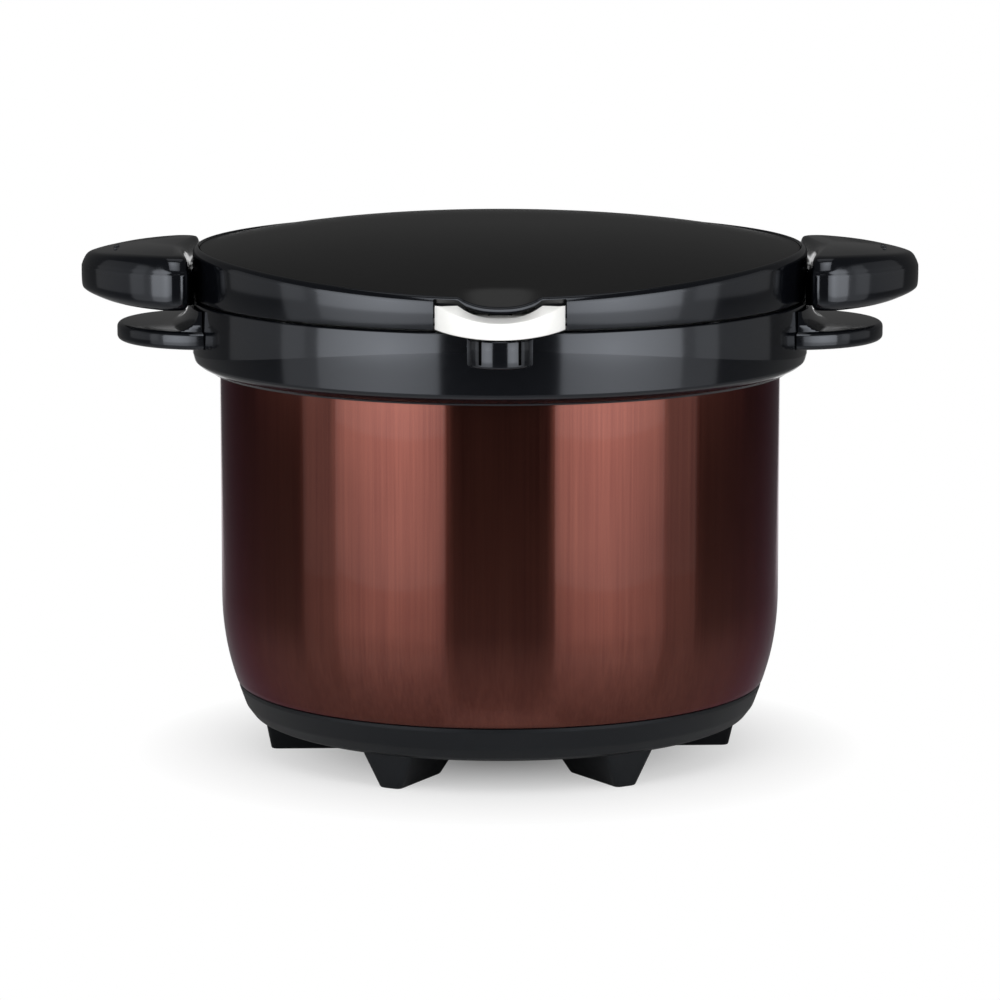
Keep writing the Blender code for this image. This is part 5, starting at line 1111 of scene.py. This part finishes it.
for word, side in (("left", -1), ("right", 1)):
    pivot = side * PIVOT_RADIUS
    strap = raised("strap_" + word, [strap_ring(height, inset, side) for height, inset in BRACKET_LEVELS])
    for start in (EYE_INNER, -EYE_OUTER):
        eye = rod(EYE_RADIUS, (pivot, start, PIVOT_HEIGHT), ALONG_Y, EYE_OUTER - EYE_INNER, 40)
        carved(strap, eye, "UNION")
    carved(strap, rod(EYE_HOLE, (pivot, -EYE_CUT, PIVOT_HEIGHT), ALONG_Y, 2 * EYE_CUT, 32))
    fitted(strap, "inner_pot", "steel", bare_steel, "pot_bracket_" + word, degrees=35)
    half = [(pivot, PIN_END, PIVOT_HEIGHT), (pivot, BAIL_HALF_WIDTH, PIVOT_HEIGHT),
            (pivot, BAIL_HALF_WIDTH, BAIL_BEND_HEIGHT), (side * BAR_RADIUS, BAIL_HALF_WIDTH, BAR_HEIGHT)]
    path = rounded(half + [(x, -y, z) for x, y, z in reversed(half)], WIRE_ROUNDINGS, 8)
    wire = wire_along("wire_" + word, path, WIRE_RADIUS)
    fitted(wire, word + "_bail", "steel", polished_steel, "pot_bail_" + word, degrees=50)
    grip_line = rounded([(HANDGRIP_HOLE, -HANDGRIP_HALF), (HANDGRIP_RADIUS, -HANDGRIP_HALF),
                         (HANDGRIP_RADIUS, HANDGRIP_HALF), (HANDGRIP_HOLE, HANDGRIP_HALF)],
                        HANDGRIP_ROUNDINGS, 5, closed=True)
    handgrip = spun("handgrip_" + word, grip_line, 48, closed=True)
    laid(handgrip, (side * BAR_RADIUS, 0, BAR_HEIGHT), ALONG_Y)
    fitted(handgrip, word + "_bail", "matt_black", matt_black, "pot_grip_" + word)


# Glass lid of the pot
# A domed disc of clear tempered glass set in a rolled steel rim that drops into the pot's mouth.
# A matt black knob stands on it, held by a screw from below.

GLASS_RADIUS, GLASS_EDGE, GLASS_THICKNESS, GLASS_RISE = 0.1074, 0.1778, 0.0032, 0.0105
GLASS_STEPS, GLASS_HOLE = 16, 0.0021
RIM_OUTER, RIM_INNER, RIM_SKIRT = 0.1088, 0.1045, 0.1064
RIM_BOTTOM, RIM_TOP, RIM_SHELF, RIM_SKIRT_LOW = 0.1767, 0.1809, 0.1775, 0.1722
RIM_SHEET = 0.0010
KNOB_LINE = ((0.0021, 0.1918), (0.0110, 0.1918), (0.0085, 0.1943), (0.0085, 0.1967), (0.0190, 0.1998),
             (0.0190, 0.2030), (0.0133, 0.2058), (0, 0.2058))
KNOB_ROUNDINGS = (0, 0.0008, 0.0020, 0.0030, 0.0030, 0.0030, 0.0080, 0)
KNOB_SOCKET_TOP = 0.2002
POT_LID_SCREW_SEAT, POT_LID_SCREW_REACH = 0.1880, 0.0119


def clear_glass():
    finish, shader, place = blank_finish("clear_glass", IOR=1.5, Transmission_Weight=1.0)
    wave = place.noise(18.0, 2.0)
    lead(shader, Base_Color=wave.between((0.86, 0.93, 0.91), (0.93, 0.97, 0.96)),
         Roughness=0.01 + 0.03 * wave, Normal=wave.bump(0.1, 0.0002))
    return finish


under = [(radius, GLASS_EDGE + GLASS_RISE * (1 - (radius / GLASS_RADIUS) ** 2))
         for radius in spaced(GLASS_RADIUS, GLASS_HOLE, GLASS_STEPS)]
over = [(radius, height + GLASS_THICKNESS) for radius, height in reversed(under)]
glass_dome = spun("glass_dome", under + over, closed=True)
edged(glass_dome, 0.0006, 3, 50)
fitted(glass_dome, "glass_lid", "glass", clear_glass(), "pot_lid_glass")
rim_line = [
    (RIM_SKIRT, RIM_SKIRT_LOW), (RIM_SKIRT, RIM_BOTTOM), (RIM_OUTER, RIM_BOTTOM), (RIM_OUTER, RIM_TOP),
    (RIM_OUTER - RIM_SHEET, RIM_TOP), (RIM_OUTER - RIM_SHEET, RIM_SHELF), (RIM_INNER, RIM_SHELF),
    (RIM_INNER, RIM_BOTTOM), (RIM_SKIRT - RIM_SHEET, RIM_BOTTOM), (RIM_SKIRT - RIM_SHEET, RIM_SKIRT_LOW),
]
glass_rim = spun("glass_rim", rounded(rim_line, 0.0003, 3, closed=True), closed=True)
fitted(glass_rim, "glass_lid", "steel", polished_steel, "pot_lid_ring")
socket = [(0, KNOB_SOCKET_TOP), (GLASS_HOLE, KNOB_SOCKET_TOP), KNOB_LINE[0]]
black_knob = spun("black_knob", rounded(KNOB_LINE, KNOB_ROUNDINGS) + socket, 96)
fitted(black_knob, "glass_lid", "matt_black", matt_black, "pot_lid_knob")
screws_from("pot_lid_screw", 0, POT_LID_SCREW_SEAT, [0], POT_LID_SCREW_REACH, "glass_lid", UP)


# Floor, lamps and camera
# A plain white floor in a dim grey room. On each side stands a tall soft lamp in front, in two parts so
# that its foot is dimmer, with weaker ones beside and beyond it. Two wide soft lamps hang overhead.

CAMERA_PLACE = (0, -2.1586, 0.4613)
CAMERA_TURN = radians(80.834)
CAMERA_LENS, SENSOR = 174, 36
FLOOR_SIZE = 40
FLOOR_WHITE = 0.90
SHADOW_RADIUS, WHITE_RADIUS = 0.01, 0.165
PICTURE_FRONT, FRONT_FADE = 0.70, 0.30
PICTURE_SHARE, PICTURE_FADE = 0.100, 0.116
ROOM_GREY = 0.09

floor_finish, floor_shader, place = blank_finish("white_floor", IOR=1.8)
grain = place.noise(60.0, 2.0)
across = place.add("ShaderNodeSeparateXYZ", {}, {0: place}, "X")
deep = place.add("ShaderNodeSeparateXYZ", {}, {0: place}, "Y")
away = place.add("ShaderNodeVectorMath", {"operation": "LENGTH"}, {0: place}, "Value")
far = away.spread(SHADOW_RADIUS, WHITE_RADIUS)
aside = across.maths("ABSOLUTE", across, 0.0) / (deep - CAMERA_PLACE[1])
behind = (1.0 - aside.spread(PICTURE_SHARE, PICTURE_FADE)) * deep.spread(FRONT_FADE, PICTURE_FRONT)
camera_ray, glossy_ray, clear_ray = [place.add("ShaderNodeLightPath", {}, {}, "Is %s Ray" % kind)
                                     for kind in ("Camera", "Glossy", "Transmission")]
lead(floor_shader, Base_Color=grain.between((FLOOR_WHITE - 0.01,) * 3, (FLOOR_WHITE + 0.01,) * 3),
     Roughness=0.9 - 0.82 * glossy_ray)
lift = far * (camera_ray + clear_ray + glossy_ray * behind)
glow = place.add("ShaderNodeEmission", {}, {"Color": (1, 1, 1, 1), "Strength": 1.0})
plain = Wire(place.tree, floor_shader.outputs[0])
mixed = place.add("ShaderNodeMixShader", {}, {0: lift, 1: plain, 2: glow})
place.tree.links.new(mixed.socket, place.tree.nodes["Material Output"].inputs["Surface"])
bpy.ops.mesh.primitive_plane_add(size=FLOOR_SIZE)
floor = bpy.context.object
floor.name = "floor"
floor.data.materials.append(floor_finish)


def lamp(name, place, aim, width, height, watts, spread):
    light = bpy.data.lights.new(name, "AREA")
    light.shape = "RECTANGLE"
    light.size = width
    light.size_y = height
    light.energy = watts
    light.spread = radians(spread)
    made = bpy.data.objects.new(name, light)
    made.location = place
    made.rotation_euler = (Vector(aim) - Vector(place)).to_track_quat("-Z", "Y").to_euler()
    bpy.context.collection.objects.link(made)


for word, side in (("left", -1), ("right", 1)):
    for part, turn, away, low, high, width, watts in (
            ("low", 42.0, 0.646, 0.00, 0.10, 0.522, 0.128), ("high", 42.0, 0.646, 0.10, 0.45, 0.522, 0.760),
            ("outer", 71.5, 0.660, 0.00, 0.45, 0.190, 0.062),
            ("far", 90.0, 0.680, 0.11, 0.50, 0.500, 0.070)):
        middle = (low + high) / 2
        lamp("%s_%s_lamp" % (word, part), outward(away, middle, side * radians(turn)), (0, 0, middle),
             width, high - low, watts, 100)
lamp("top_lamp", (0, 0.05, 1.3), (0, 0, 0.1), 0.9, 0.7, 0.5, 120)
lamp("front_lamp", (0, -0.9, 1.2), (0, -0.05, 0.15), 1.1, 0.8, 1.50, 70)

world = bpy.data.worlds.new("room")
bpy.context.scene.world = world
world.use_nodes = True
room = world.node_tree.nodes["Background"]
room.inputs["Color"].default_value = (1, 1, 1, 1)
room.inputs["Strength"].default_value = ROOM_GREY

view = bpy.data.cameras.new("camera")
view.lens = CAMERA_LENS
view.sensor_width = SENSOR
camera = bpy.data.objects.new("camera", view)
camera.location = CAMERA_PLACE
camera.rotation_euler = (CAMERA_TURN, 0, 0)
bpy.context.collection.objects.link(camera)
bpy.context.scene.camera = camera
bpy.context.scene.view_settings.view_transform = "Standard"
